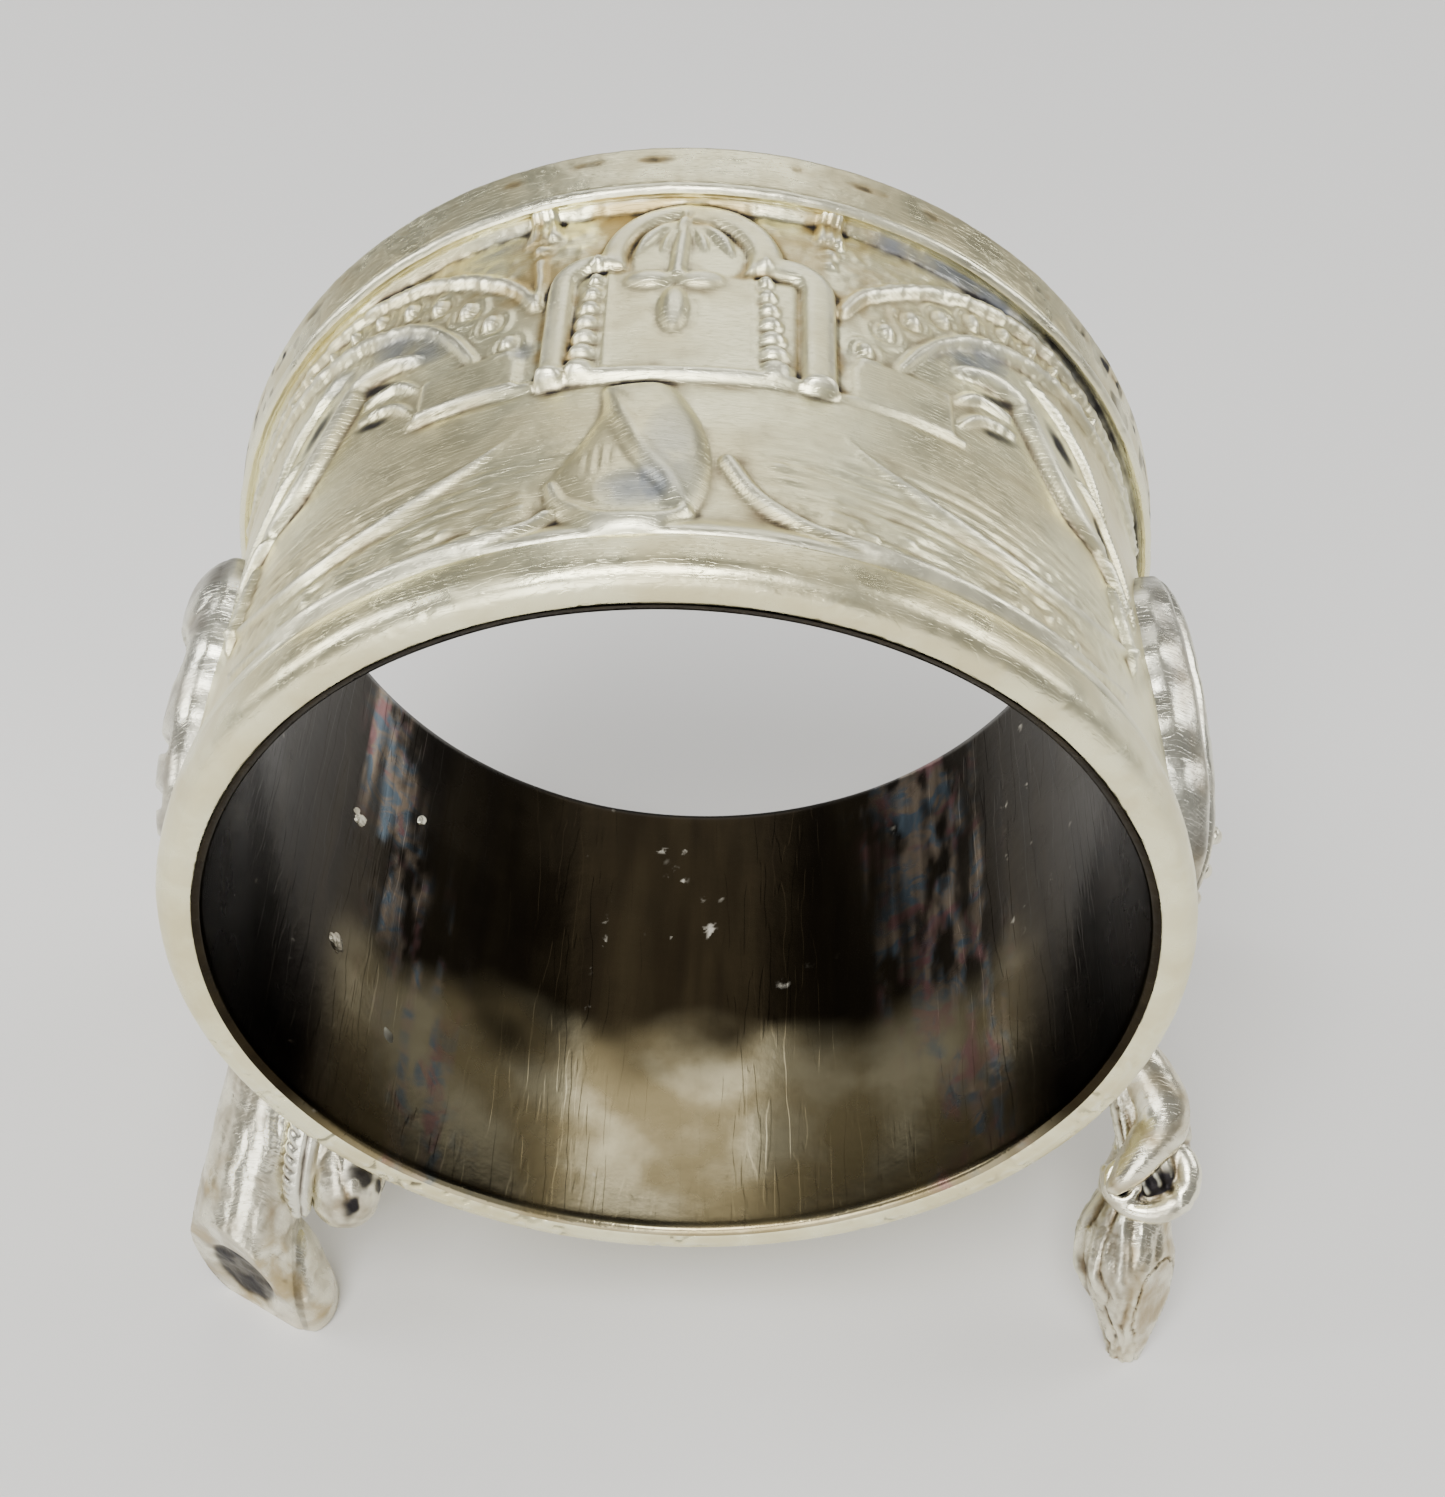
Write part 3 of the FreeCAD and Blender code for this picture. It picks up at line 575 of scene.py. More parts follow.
def tube(stations, around=26, per=8):
    """A closed round limb through stations of (x, y, z, radius)."""
    c = curve(stations, per)
    path, radii = c[:, :3], np.maximum(c[:, 3], 0.05)
    ahead, sides, ups = frames_along(path)
    rings = []
    turn = np.arange(around) / around * 2.0 * math.pi
    caps = np.radians([84.0, 66.0, 45.0, 22.0])
    first, last = ahead[0] * radii[0], ahead[-1] * radii[-1]
    order = [(path[0] - first * math.sin(k), radii[0] * math.cos(k), 0) for k in caps]
    order += [(path[i], radii[i], i) for i in range(len(path))]
    order += [(path[-1] + last * math.sin(k), radii[-1] * math.cos(k), -1) for k in caps[::-1]]
    for centre, radius, i in order:
        rings.append(centre + radius * (np.outer(np.cos(turn), sides[i]) + np.outer(np.sin(turn), ups[i])))
    points = np.concatenate(rings)
    faces = [list(f) for f in grid_faces(len(rings), around, True)]
    faces.append(list(range(around))[::-1])
    faces.append([len(points) - around + k for k in range(around)])
    return points, faces


def joined(limbs, fineness):
    """Several closed limbs melted into one even skin."""
    points, faces, start = [], [], 0
    for p, f in limbs:
        points.append(p)
        faces += [[k + start for k in face] for face in f]
        start += len(p)
    raw = bpy.data.objects.new("raw", new_mesh("raw", np.concatenate(points), faces))
    bpy.context.scene.collection.objects.link(raw)
    melt = raw.modifiers.new("melt", "REMESH")
    melt.mode = "VOXEL"
    melt.voxel_size = fineness
    shown = raw.evaluated_get(bpy.context.evaluated_depsgraph_get())
    mesh = bpy.data.meshes.new_from_object(shown)
    bpy.data.objects.remove(raw)
    return mesh


def limb_place(points, stations):
    """For each point: how far along the limb it lies, its angle round it and its distance from the middle."""
    c = curve(stations, 6)
    path = c[:, :3]
    ahead, sides, ups = frames_along(path)
    far = np.linalg.norm(points[:, None, :] - path[None, :, :], axis=2)
    i = far.argmin(1)
    off = points - path[i]
    step = (off * ahead[i]).sum(1)
    length = np.linalg.norm(np.diff(path, axis=0), axis=1).sum()
    turn = np.arctan2((off * ups[i]).sum(1), (off * sides[i]).sum(1))
    return i / (len(path) - 1.0) * length + step, turn, far.min(1)


def bark(points, stations, depth, count, seed):
    """Wavering grooves along a limb."""
    along, turn, _ = limb_place(points, stations)
    bent = turn + 0.10 * np.sin(along * 0.6 + seed) + 0.35 * rough(points, 0.35, seed, 2)
    groove = np.abs(np.sin(bent * count * 0.5)) ** 0.6
    fine = rough(np.stack([turn * 5.0, along * 0.7, 0 * along], -1), 1.0, seed + 5, 3)
    return depth * 0.6 * (groove - 0.7) + depth * 0.8 * fine


def flatten(points, at, normal):
    """Presses whatever stands beyond a plane back onto it, and says which points were pressed."""
    n = np.array(normal, float)
    n /= np.linalg.norm(n)
    beyond = (points - np.array(at)) @ n
    return points - np.outer(np.maximum(beyond, 0.0), n), beyond > 0.0


def casting(name, limbs, nodes, material, detail, fineness=0.15, melt_rounds=4, mirror=False, depth=0.09):
    """One cast piece: limbs melted together, smoothed, worked over by its detail function."""
    mesh = joined([tube(l) for l in limbs], fineness)
    edges = read_edges(mesh)
    points = relax(read_points(mesh), edges, melt_rounds)
    write_points(mesh, points)
    points, extra = detail(points, read_normals(mesh), edges)
    points[:, 2] = np.maximum(points[:, 2], -RING_HEIGHT)
    if mirror:
        points[:, 1] *= -1.0
        mesh.flip_normals()
    write_points(mesh, points)
    mesh.name = name
    zero = np.zeros(len(points))
    measures = {"dark": zero, "cool": zero, "warm": zero}
    measures.update(extra)
    return add_piece(name, mesh, nodes, material, measures, 8, depth)


LOG_CUT = ((-21.9, -13.3, -26.4), (-0.50, -0.86, -0.10))
LOG = [(-18.7, -4.2, -11.6, 2.1), (-20.6, -8.2, -18.4, 2.5), (-22.2, -12.0, -24.9, 2.75),
       (-22.9, -13.6, -27.6, 2.6)]
LOG_TOE = [(-21.2, -11.8, -25.0, 2.4), (-20.6, -12.3, -26.6, 2.35), (-19.9, -12.7, -27.9, 2.1),
           (-19.6, -12.8, -29.0, 1.9)]


def log_detail(seed):
    def detail(points, normals, edges):
        points = points + normals * bark(points, LOG, 0.09, 13, seed)[:, None]
        points, pressed = flatten(points, *LOG_CUT)
        n = np.array(LOG_CUT[1])
        n /= np.linalg.norm(n)
        centre = np.array((-22.3, -13.0, -26.5))
        off = points - centre
        flat = off - np.outer(off @ n, n)
        ring = np.linalg.norm(flat * (1.0, 1.0, 0.8), axis=1)
        dish = smooth(2.3, 1.7, ring)
        inside = pressed * dish
        cut = (0.26 + 0.16 * rough(points, 0.9, seed + 3, 3)) * inside
        points = points - np.outer(cut, n)
        crack = 0.25 * np.exp(-((points[:, 0] + 19.2) / 0.35) ** 2) * smooth(-22.0, -24.0, points[:, 2])
        points = points - normals * crack[:, None]
        golden = smooth(0.0, 0.35, rough(points, 0.5, seed + 9, 2)) * smooth(-15.0, -19.0, points[:, 2])
        # The sawn end face is painted dark as painted shade.
        dark = 0.70 * relax(inside, edges, 2) + 0.5 * smooth(0.08, 0.2, crack)
        return points, {"dark": np.clip(dark, 0, 1), "warm": 0.8 * golden}
    return detail


TWIG = [(-16.6, -7.5, -12.8, 0.75), (-18.1, -10.2, -16.6, 0.85), (-18.75, -11.8, -19.6, 0.80),
        (-18.8, -12.4, -21.2, 0.55)]


def twig_detail():
    def detail(points, normals, edges):
        along, turn, _ = limb_place(points, TWIG)
        ribs = np.abs(np.sin(along * 5.2 + turn * 0.6)) ** 0.7
        edge = smooth(-0.1, -0.5, normals[:, 0])
        seam = np.exp(-((normals[:, 0] - 0.25) / 0.16) ** 2)
        points = points + normals * (0.13 * edge * (ribs - 0.6) - 0.14 * seam)[:, None]
        dark = np.maximum(smooth(0.5, 0.1, ribs) * edge * 0.8, 0.6 * seam)
        return points, {"dark": dark, "cool": np.full(len(points), 0.25)}
    return detail


BUD = [(-15.2, -7.2, -14.6, 1.1), (-16.2, -9.6, -17.9, 1.55), (-16.5, -11.0, -20.2, 1.85),
       (-16.7, -11.5, -21.2, 1.75)]
BUD_STALK = [(-17.1, -9.0, -15.6, 0.5), (-17.6, -10.6, -18.0, 0.6), (-17.7, -11.7, -20.6, 0.7)]


def bud_detail(seed):
    def detail(points, normals, edges):
        along, turn, _ = limb_place(points, BUD)
        fade = smooth(9.0, 5.0, along)
        folds = 0.20 * fade * (np.abs(np.sin(turn * 2.5 + 0.4 * along)) ** 0.5 - 0.75)
        points = points + normals * (folds + 0.10 * rough(points, 0.9, seed, 3))[:, None]
        # Painted shade on the bud's upper inner side, under the ring.
        shade = smooth(-17.2, -16.0, points[:, 0]) * smooth(-22.2, -20.6, points[:, 2])
        return points, {"dark": 0.75 * shade * smooth(-0.25, 0.1, rough(points, 1.1, seed + 2, 2))}
    return detail


ROOT = [(20.6, -5.6, -13.2, 1.0), (22.7, -9.3, -18.8, 1.15), (22.3, -11.8, -23.2, 2.45),
        (22.8, -13.1, -26.0, 1.95), (22.85, -13.9, -28.4, 1.15), (22.85, -14.1, -29.8, 0.85)]


def root_detail(seed):
    def detail(points, normals, edges):
        left = smooth(23.2, 21.6, points[:, 0])
        points = points + normals * (bark(points, ROOT, 0.34, 12, seed) * (0.30 + 0.70 * left))[:, None]
        points, pressed = flatten(points, (23.75, -14.1, -25.8), (0.66, -0.72, 0.10))
        outline = relax(pressed.astype(float), edges, 3)
        rim = np.clip(1.0 - np.abs(outline - 0.42) / 0.30, 0.0, 1.0) * smooth(-28.6, -27.0, points[:, 2])
        points = points - normals * (0.22 * rim)[:, None]
        return points, {"dark": np.clip(0.9 * rim + 0.45 * left, 0, 1), "warm": 0.5 * (1.0 - left)}
    return detail


VINE = [(20.9, -6.4, -13.0, 1.05), (22.9, -8.0, -15.1, 1.28), (23.5, -9.3, -16.5, 1.32),
        (22.6, -10.5, -17.6, 1.08), (21.8, -11.2, -18.4, 0.80), (21.3, -11.5, -18.9, 0.50)]
VINE_UNDER = [(24.0, -9.2, -17.1, 0.62), (23.1, -10.4, -18.3, 0.55), (22.0, -11.2, -19.2, 0.42)]


def vine_detail(seed):
    def detail(points, normals, edges):
        points = points + normals * (0.10 * rough(points, (0.6, 0.6, 0.6), seed, 3))[:, None]
        # Painted shade on the faces turned down and outward, under the vine.
        low = smooth(-0.1, 0.6, -normals[:, 2] + 0.5 * normals[:, 0] - 0.3)
        return points, {"dark": 0.9 * low, "warm": np.full(len(points), 0.3)}
    return detail


BURL_MIDDLE = np.array((23.15, -10.4, -19.4))
BURL_FACE = np.array((-0.17, -0.56, 0.81))
BURL_RIGHT = np.cross((0.0, 0.81, 0.56), BURL_FACE)
BURL_UP = np.cross(BURL_FACE, BURL_RIGHT)
BURL = [(24.0, -8.9, -17.9, 1.2), (23.3, -9.8, -19.6, 2.15), (22.5, -10.3, -20.5, 1.75)]


def on_burl(right, up, out, radius):
    """A station on the burl's open face, measured in its own plane."""
    at = BURL_MIDDLE + BURL_RIGHT * right + BURL_UP * up + BURL_FACE * out
    return (*at, radius)


def burl_lip():
    """The thick lip that curls round the burl's open face: angle, distance out and thickness."""
    turns = [(58, 1.70, 0.45), (30, 1.80, 0.62), (0, 1.85, 0.74), (-32, 1.85, 0.76), (-62, 1.85, 0.70),
             (-92, 1.90, 0.60), (-122, 2.00, 0.52), (-152, 2.10, 0.46), (178, 2.10, 0.38)]
    out = []
    for degrees, far, radius in turns:
        t = math.radians(degrees)
        out.append(on_burl(far * math.cos(t), far * math.sin(t), 0.55, radius))
    return out


def burl_eye():
    """The small ring at the left of the open face."""
    out = []
    for degrees in range(20, 381, 40):
        t = math.radians(degrees)
        out.append(on_burl(-1.35 + 0.70 * math.cos(t), -0.45 + 0.92 * math.sin(t), 0.90, 0.27))
    return out


def burl_detail(seed):
    def detail(points, normals, edges):
        out = (points - BURL_MIDDLE) @ BURL_FACE
        right = (points - BURL_MIDDLE) @ BURL_RIGHT
        up = (points - BURL_MIDDLE) @ BURL_UP
        lip = limb_place(points, burl_lip())[2]
        on_lip = smooth(0.95, 0.65, lip)
        eye = np.hypot((right + 1.35) / 0.70, (up + 0.45) / 0.92)
        face = smooth(0.0, 0.5, out) * (1.0 - on_lip) * smooth(1.3, 1.5, eye)
        grain = np.sin(right * 7.5 + up * 3.5 + 3.0 * rough(points, 0.6, seed, 2))
        lumps = rough(points, 1.3, seed + 4, 2) * smooth(0.0, -0.8, up)
        points = points + normals * (face * (0.08 * grain + 0.45 * lumps))[:, None]
        # The open face is darkened; the extra darkening towards its lower part is painted shade.
        low = smooth(0.6, -0.6, up)
        dark = np.clip(face * (0.50 + 0.50 * low), 0, 1)
        dark = np.maximum(dark, 0.9 * smooth(0.85, 0.65, eye) * smooth(0.30, 0.45, eye) * (out > 0.0))
        return points, {"dark": dark, "warm": 0.4 * face}
    return detail


def branch_stations(side):
    """The arched branch that joins the two feet of one side, lying against the jacket."""
    drop = math.radians(20.0)
    middle = np.array((22.4 * math.cos(drop) * side, 0.0, -22.4 * math.sin(drop)))
    rise = np.array((math.sin(drop) * side, 0.0, math.cos(drop)))
    out = [(*(middle - rise * 5.0 + (0, -4.5, 0)), 1.45)]
    for degrees in range(180, -1, -30):
        t = math.radians(degrees)
        out.append((*(middle + rise * 4.5 * math.sin(t) + (0, 4.5 * math.cos(t), 0)), 1.5))
    out.append((*(middle - rise * 5.0 + (0, 4.5, 0)), 1.45))
    return out


def branch_detail(stations, seed):
    def detail(points, normals, edges):
        points = points + normals * bark(points, stations, 0.14, 9, seed)[:, None]
        knot = np.exp(-(np.linalg.norm(points - np.array(stations[4][:3]), axis=1) / 1.5) ** 2)
        points = points + normals * (0.30 * knot)[:, None]
        return points, {"warm": np.full(len(points), 0.3)}
    return detail


def leaf_height(a, b, side):
    """Height of a flank leaf over the jacket; a runs to the lower tip, b across and is 1 at its outline."""
    dome = 1.75 * np.clip(1.0 - np.abs(b) ** 3, 0.0, 1.0) ** 0.5
    dome = dome * np.clip(1.0 - np.abs(a / 7.7) ** 3, 0.0, 1.0) ** 0.5
    if side < 0:
        h = dome + oval(a, b, (-5.2, 0.1), (2.2, 0.75), 0.35)
        h = h - oval(a, b, (-1.8, 0.0), (1.9, 0.72), 1.15, 0.0, 0.35)
        for at in (1.6, 3.9, 5.9):
            h = h - 0.70 * smooth(0.55, 0.20, np.abs(a - at - 0.3 * b * b)) * smooth(0.85, 0.65, np.abs(b))
    else:
        h = dome + 0.25 * np.exp(-((b - 0.72) / 0.12) ** 2) + 0.30 * np.exp(-((b - 0.33) / 0.14) ** 2)
        h = h - 0.50 * np.exp(-((b - 0.53 - 0.03 * np.sin(a)) / 0.07) ** 2)
        lump = np.stack([a, b * 3.0, 0.0 * a], -1)
        inner = smooth(0.25, 0.0, b)
        h = h - 0.35 * inner + 0.7 * rough(lump, 0.45, 61, 2) * inner
        for at in (0.6, 3.4):
            h = h - 0.35 * smooth(0.45, 0.15, np.abs(a - at)) * inner
    return np.maximum(h, 0.0)


def make_leaf(side, name, node, material):
    centre_y, centre_z, slope = (-3.2, 3.4, 34.0) if side < 0 else (-2.7, 3.2, 27.0)
    rows, columns = 150, 84
    f, b = np.meshgrid(np.linspace(-1.0, 1.0, rows), np.linspace(-1.0, 1.0, columns), indexing="ij")
    a = f * 7.6
    half = 4.4 * np.clip(1.0 - np.abs(f) ** 2.6, 0.0, 1.0) ** 0.62 * (1.0 - 0.22 * f)
    half = half * (1.0 + 0.04 * np.sin(a * 2.0) * np.abs(b))
    c, k = math.cos(math.radians(slope)), math.sin(math.radians(slope))
    across = b * half
    y = centre_y - a * c + across * k
    z = centre_z - a * k - across * c
    h = leaf_height(a, -b, side) + 0.05
    points = np.stack([0 * a, y, z], -1)
    h = h + 0.06 * rough(np.stack([a, across, 0 * a], -1), 0.9, 63 + side, 2) * smooth(1.0, 0.85, np.abs(b))
    edge = np.maximum(np.abs(b), np.abs(f))
    h = np.where(edge > 0.999, -0.25, h)
    arc = math.pi / 2 - z / JACKET_RADIUS
    radius = JACKET_RADIUS + h
    points = np.stack([side * radius * np.sin(arc), y, radius * np.cos(arc)], -1)
    faces = grid_faces(rows, columns, False)
    if side > 0:
        faces = faces[:, ::-1]
    mesh = new_mesh(name, points, faces)
    hollow = smooth(0.92, 0.50, h / np.maximum(1.75 * np.clip(1 - np.abs(b) ** 3, 0, 1) ** 0.5, 0.2))
    zero = np.zeros(a.size)
    return add_piece(name, mesh, [node], material,
                     {"dark": 0.28 + 0.34 * hollow.ravel(), "cool": zero + 0.35, "warm": zero}, 12, 0.16)


def make_berries(material):
    limbs = []
    for x, y, z in ((23.35, -7.2, 1.6), (22.9, -8.4, 0.7), (22.4, -9.4, 0.0)):
        limbs.append([(x - 0.1, y, z + 0.05, 0.40), (x, y, z, 0.50), (x + 0.1, y, z - 0.05, 0.40)])
    def detail(points, normals, edges):
        return points + normals * (0.04 * rough(points, 2.0, 71, 2))[:, None], {}
    return casting("right_leaf_berries_skin", limbs, ["right_leaf_berries"], material, detail, 0.09, 2)


def make_castings(material):
    burl_limbs = [BURL, burl_lip(), burl_eye(), [on_burl(-1.35 + k * 0.06, -0.50, 0.85, 0.38) for k in (-1, 0, 1)]]
    for mirror, end, seed in ((False, "front", 3), (True, "rear", 11)):
        for node, limbs, detail, fineness, rounds, depth in (
                (f"left_{end}_log_foot", [LOG, LOG_TOE], log_detail(seed), 0.15, 4, 0.30),
                (f"left_{end}_twig", [TWIG], twig_detail(), 0.10, 2, 0.09),
                (f"left_{end}_bud", [BUD, BUD_STALK], bud_detail(seed), 0.12, 3, 0.09),
                (f"right_{end}_root_foot", [ROOT], root_detail(seed), 0.13, 3, 0.09),
                (f"right_{end}_vine", [VINE, VINE_UNDER], vine_detail(seed), 0.11, 3, 0.09),
                (f"right_{end}_burl", burl_limbs, burl_detail(seed), 0.10, 2, 0.09)):
            casting(node + "_skin", limbs, [node], material, detail, fineness, rounds, mirror, depth)
    for side, word in ((-1, "left"), (1, "right")):
        stations = branch_stations(side)
        casting(f"{word}_flank_branch_skin", [stations], [f"{word}_flank_branch"], material,
                branch_detail(stations, 5 + side), 0.17, 2)
        make_leaf(side, f"{word}_flank_leaf_skin", f"{word}_flank_leaf", material)
    make_berries(material)


# ---------------------------------------------------------------- finishes

class Paint:
    """A short way to write a node material."""

    def __init__(self, name):
        self.material = bpy.data.materials.new(name)
        self.material.use_nodes = True
        self.tree = self.material.node_tree
        self.shader = self.tree.nodes["Principled BSDF"]
        self.place = self.make("ShaderNodeTexCoord").outputs["Object"]

    def make(self, kind, **settings):
        node = self.tree.nodes.new(kind)
        for key, value in settings.items():
            setattr(node, key, value)
        return node

    def feed(self, socket, value):
        if isinstance(value, bpy.types.NodeSocket):
            self.tree.links.new(value, socket)
        else:
            socket.default_value = value

    def measure(self, name):
        return self.make("ShaderNodeAttribute", attribute_name=name).outputs["Fac"]

    def cloud(self, scale, detail=4.0, stretch=(1.0, 1.0, 1.0), warp=0.0):
        """Noise with the given number of waves per metre."""
        mapping = self.make("ShaderNodeMapping")
        self.feed(mapping.inputs["Vector"], self.place)
        mapping.inputs["Scale"].default_value = stretch
        node = self.make("ShaderNodeTexNoise")
        self.feed(node.inputs["Vector"], mapping.outputs["Vector"])
        node.inputs["Scale"].default_value = scale
        node.inputs["Detail"].default_value = detail
        node.inputs["Distortion"].default_value = warp
        return node.outputs["Fac"]

    def sum(self, a, b, how="ADD"):
        node = self.make("ShaderNodeMath", operation=how)
        self.feed(node.inputs[0], a)
        self.feed(node.inputs[1], b)
        return node.outputs[0]

    def span(self, value, low, high, to_low=0.0, to_high=1.0):
        node = self.make("ShaderNodeMapRange", interpolation_type="SMOOTHSTEP")
        self.feed(node.inputs["Value"], value)
        for key, v in (("From Min", low), ("From Max", high), ("To Min", to_low), ("To Max", to_high)):
            node.inputs[key].default_value = v
        return node.outputs["Result"]

    def mix(self, share, a, b):
        node = self.make("ShaderNodeMix", data_type="RGBA")
        self.feed(node.inputs[0], share)
        self.feed(node.inputs[6], a if isinstance(a, bpy.types.NodeSocket) else (*a, 1.0))
        self.feed(node.inputs[7], b if isinstance(b, bpy.types.NodeSocket) else (*b, 1.0))
        return node.outputs[2]

    def bumps(self, *layers):
        """Stacks bump layers of (height, depth in metres)."""
        normal = None
        for height, deep in layers:
            node = self.make("ShaderNodeBump")
            node.inputs["Strength"].default_value = 1.0
            node.inputs["Distance"].default_value = deep
            self.feed(node.inputs["Height"], height)
            if normal is not None:
                self.feed(node.inputs["Normal"], normal)
            normal = node.outputs["Normal"]
        self.feed(self.shader.inputs["Normal"], normal)


def silver_finish(name, bright, dull, gloss, wear, grain):
    """Old silver plate: bright on its edges, brown, blue and black in its hollows, and painted shade where a
    piece's dark measure carries it.
    """
    p = Paint(name)
    hollow = p.measure("hollow")
    blotch = p.cloud(130.0, 4.0)
    patch = p.cloud(520.0, 5.0, warp=0.4)
    speck = p.cloud(2600.0, 3.0)
    base = p.mix(p.span(blotch, 0.38, 0.64), bright, dull)
    worn = p.sum(p.sum(hollow, 0.55, "MULTIPLY"), p.sum(patch, 0.9, "MULTIPLY"))
    brown = p.span(worn, 0.42 + wear, 0.95 + wear)
    color = p.mix(brown, base, (0.27, 0.21, 0.125))
    warm = p.sum(p.measure("warm"), p.span(patch, 0.36, 0.62), "MULTIPLY")
    color = p.mix(p.sum(warm, 0.85, "MULTIPLY"), color, (0.45, 0.33, 0.13))
    cool = p.sum(p.measure("cool"), p.span(p.cloud(340.0, 4.0), 0.30, 0.55), "MULTIPLY")
    color = p.mix(p.sum(cool, 0.80, "MULTIPLY"), color, (0.25, 0.285, 0.35))
    # black: tarnish in the hollows, and the dark measure, which holds tarnish and, on some pieces, painted shade
    # and painted shadow.
    black = p.sum(p.span(p.sum(hollow, p.sum(speck, 0.35, "MULTIPLY")), 0.55 + wear, 1.05 + wear),
                  p.span(p.sum(p.measure("dark"), p.sum(patch, 0.5, "MULTIPLY")), 0.55, 1.05), "MAXIMUM")
    color = p.mix(black, color, (0.028, 0.025, 0.026))
    edge = p.span(hollow, -0.15, -0.65)
    color = p.mix(p.sum(edge, 0.60, "MULTIPLY"), color, (0.95, 0.93, 0.74))
    p.feed(p.shader.inputs["Base Color"], color)
    p.shader.inputs["Metallic"].default_value = 1.0
    rubbed = p.sum(p.span(patch, 0.3, 0.7, -0.06, 0.10), p.sum(black, 0.22, "MULTIPLY"))
    p.feed(p.shader.inputs["Roughness"], p.sum(rubbed, gloss))
    scratch = p.span(p.cloud(900.0, 2.0, (1.0, 9.0, 1.0)), 0.47, 0.53)
    p.bumps((patch, 0.00006 * grain), (speck, 0.000022 * grain), (scratch, 0.000006))
    return p.material


def liner_finish():
    """The inside: brown-black tarnish, iridescent along two bands, with a painted reflection of light low at the
    front.
    """
    p = Paint("tarnished_liner")
    streak = p.cloud(420.0, 6.0, (1.0, 0.12, 1.0), 0.3)
    blotch = p.cloud(190.0, 5.0)
    speck = p.cloud(1500.0, 4.0)
    color = p.mix(p.span(streak, 0.30, 0.74), (0.014, 0.010, 0.005), (0.027, 0.020, 0.010))
    color = p.mix(p.sum(p.measure("deep"), 0.35, "MULTIPLY"), color, (0.010, 0.007, 0.004))
    # Painted reflection: olive-brown laid low at the front stands for light reflected through the front opening.
    reflection_olive = p.mix(p.span(blotch, 0.35, 0.62), (0.60, 0.53, 0.33), (0.36, 0.29, 0.15))
    color = p.mix(p.sum(p.measure("painted_reflection"), 0.92, "MULTIPLY"), color, reflection_olive)
    hue = p.mix(p.span(p.cloud(700.0, 4.0, warp=1.2), 0.38, 0.60), (0.17, 0.24, 0.30), (0.42, 0.33, 0.24))
    hue = p.mix(p.span(p.cloud(480.0, 4.0, warp=0.8), 0.50, 0.64), hue, (0.40, 0.20, 0.20))
    color = p.mix(p.sum(p.measure("bloom"), 0.80, "MULTIPLY"), color, hue)
    spots = p.sum(p.measure("spots"), p.span(speck, 0.52, 0.62), "MULTIPLY")
    color = p.mix(p.sum(spots, 0.7, "MULTIPLY"), color, (0.62, 0.58, 0.48))
    p.feed(p.shader.inputs["Base Color"], color)
    p.shader.inputs["Metallic"].default_value = 1.0
    p.feed(p.shader.inputs["Roughness"], p.span(blotch, 0.3, 0.7, 0.17, 0.30))
    scratch = p.span(p.cloud(1300.0, 2.0, (1.0, 0.10, 1.0)), 0.48, 0.52)
    p.bumps((streak, 0.000010), (speck, 0.000008), (scratch, 0.000004))
    return p.material


def floor_finish():
    p = Paint("pale_floor")
    color = p.mix(p.cloud(9.0, 3.0), (0.73, 0.72, 0.70), (0.78, 0.77, 0.75))
    p.feed(p.shader.inputs["Base Color"], color)
    p.shader.inputs["Roughness"].default_value = 0.75
    p.bumps((p.cloud(600.0, 3.0), 0.00002))
    return p.material


# ---------------------------------------------------------------- studio

def make_floor():
    corners = [(-1.5, -1.5, 0), (1.5, -1.5, 0), (1.5, 1.5, 0), (-1.5, 1.5, 0)]
    mesh = new_mesh("floor", corners, [(0, 1, 2, 3)])
    mesh.materials.append(floor_finish())
    floor = bpy.data.objects.new("floor", mesh)
    bpy.context.scene.collection.objects.link(floor)


def make_light(name, place, aim, size, power):
    data = bpy.data.lights.new(name, "AREA")
    data.size = size
    data.energy = power
    lamp = bpy.data.objects.new(name, data)
    lamp.location = place
    lamp.rotation_euler = (Vector(aim) - Vector(place)).to_track_quat("-Z", "Y").to_euler()
    bpy.context.scene.collection.objects.link(lamp)


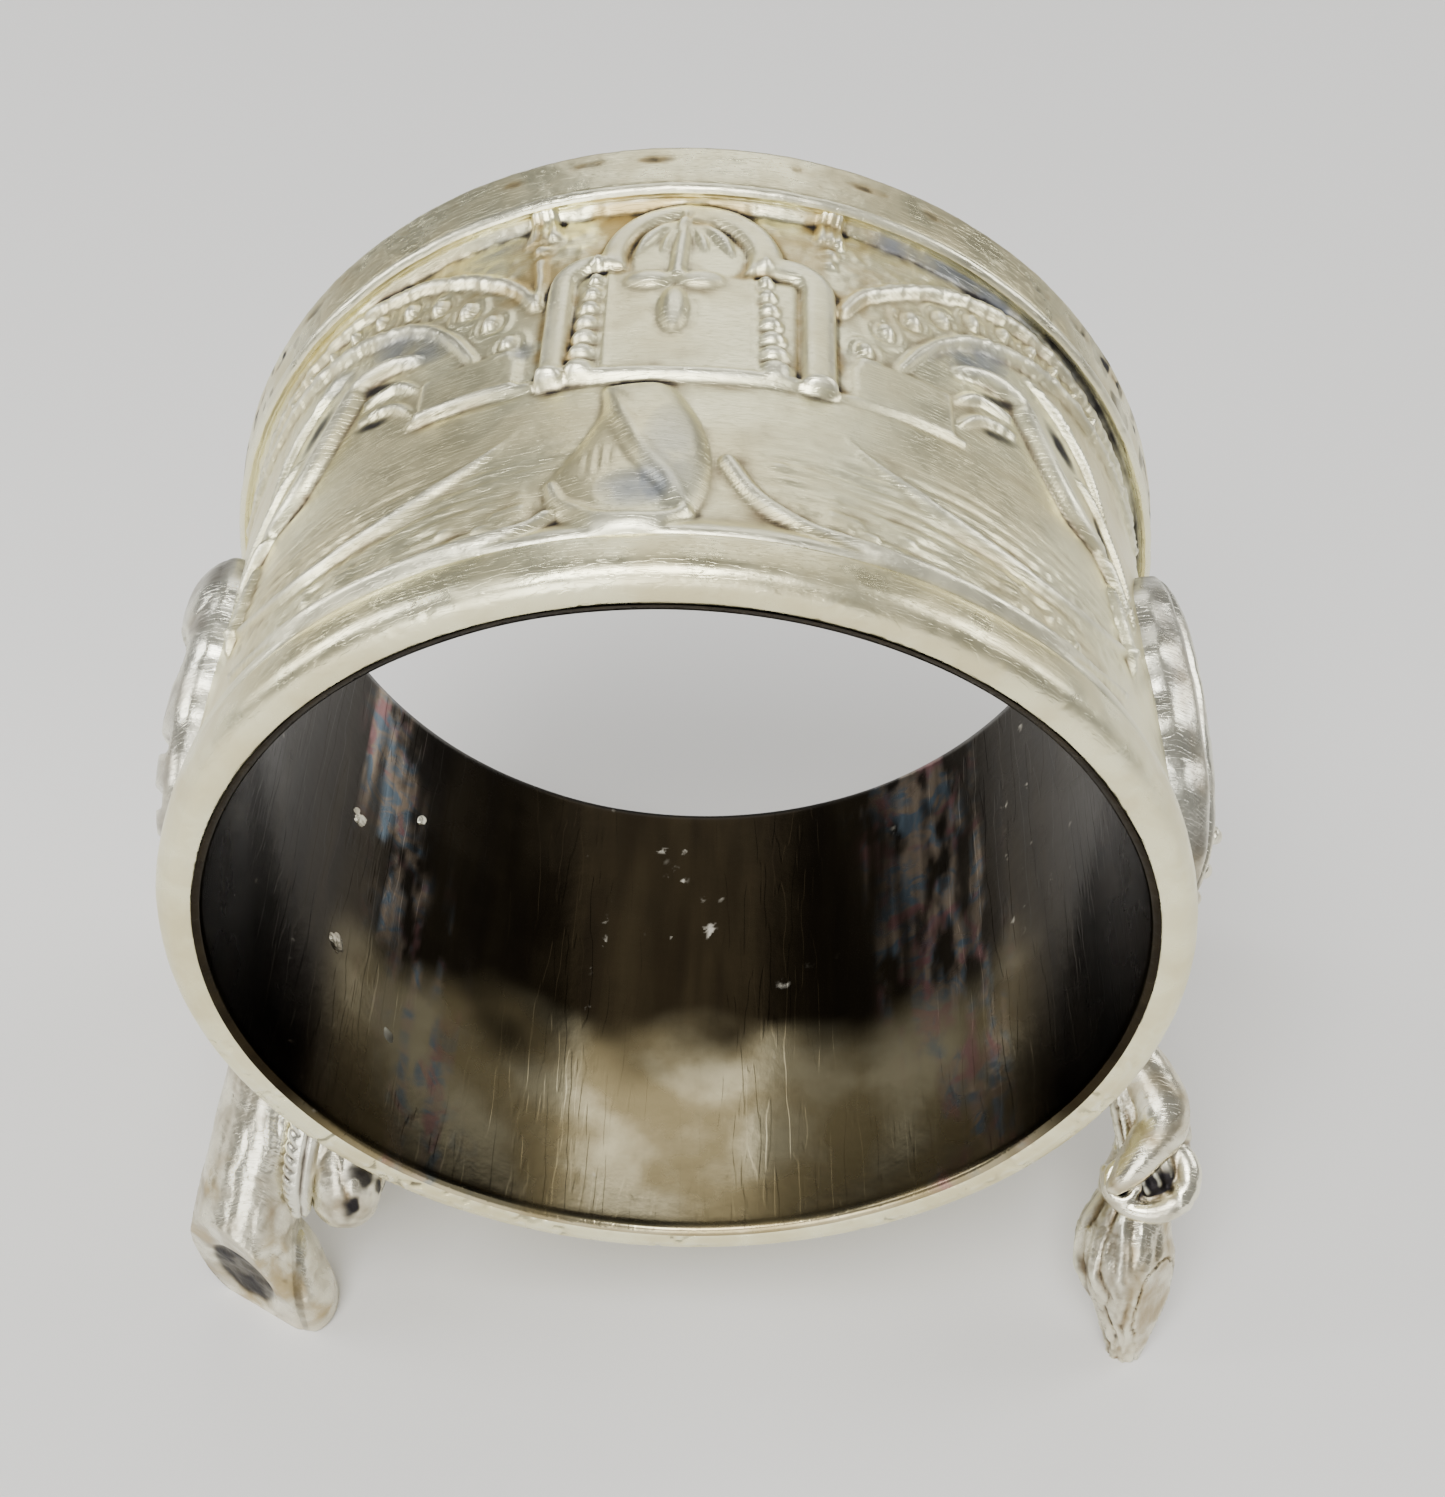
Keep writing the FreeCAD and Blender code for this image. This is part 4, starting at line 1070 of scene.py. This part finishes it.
def make_camera():
    pitch, yaw, roll = 0.7825, -0.0168, 0.0100
    ahead = Vector((math.sin(yaw) * math.cos(pitch), math.cos(yaw) * math.cos(pitch), -math.sin(pitch)))
    right = Vector((math.cos(yaw), -math.sin(yaw), 0.0))
    up = right.cross(ahead)
    x = right * math.cos(roll) + up * math.sin(roll)
    y = up * math.cos(roll) - right * math.sin(roll)
    z = -ahead
    data = bpy.data.cameras.new("camera")
    data.lens = 55.54
    data.sensor_width = 36.0
    data.clip_start = 0.005
    camera = bpy.data.objects.new("camera", data)
    at = (0.00297, -0.07701, 0.10536)
    rows = [(x[i], y[i], z[i], at[i]) for i in range(3)]
    camera.matrix_world = Matrix((*rows, (0.0, 0.0, 0.0, 1.0)))
    bpy.context.scene.collection.objects.link(camera)
    bpy.context.scene.camera = camera


def make_world():
    world = bpy.data.worlds.new("studio")
    world.use_nodes = True
    sky = world.node_tree.nodes["Background"]
    sky.inputs["Color"].default_value = (0.82, 0.815, 0.81, 1.0)
    sky.inputs["Strength"].default_value = 0.34
    bpy.context.scene.world = world


jacket_silver = silver_finish("silver_jacket", (0.92, 0.88, 0.58), (0.80, 0.73, 0.44), 0.36, 0.04, 0.45)
rim_silver = silver_finish("silver_rim", (0.92, 0.88, 0.58), (0.80, 0.74, 0.45), 0.30, 0.14, 0.45)
cast_metal = silver_finish("cast_silver", (0.93, 0.90, 0.72), (0.76, 0.71, 0.55), 0.26, -0.20, 0.8)
make_jacket(jacket_silver)
make_front_rim(rim_silver)
make_rear_band(rim_silver)
make_edge_wire(rim_silver)
make_liner(liner_finish())
make_castings(cast_metal)
make_floor()
make_light("key", (-0.06, -0.22, 0.42), (0.0, 0.0, 0.03), 0.26, 2.4)
make_light("front", (-0.10, -0.42, 0.10), (0.0, 0.0, 0.02), 0.26, 0.9)
make_light("back", (0.02, 0.42, 0.34), (0.0, 0.0, 0.045), 0.40, 0.75)
make_light("fill_left", (-0.38, 0.02, 0.22), (0.0, 0.0, 0.03), 0.22, 0.9)
make_light("fill_right", (0.36, 0.10, 0.26), (0.0, 0.0, 0.03), 0.22, 0.8)
make_world()
make_camera()
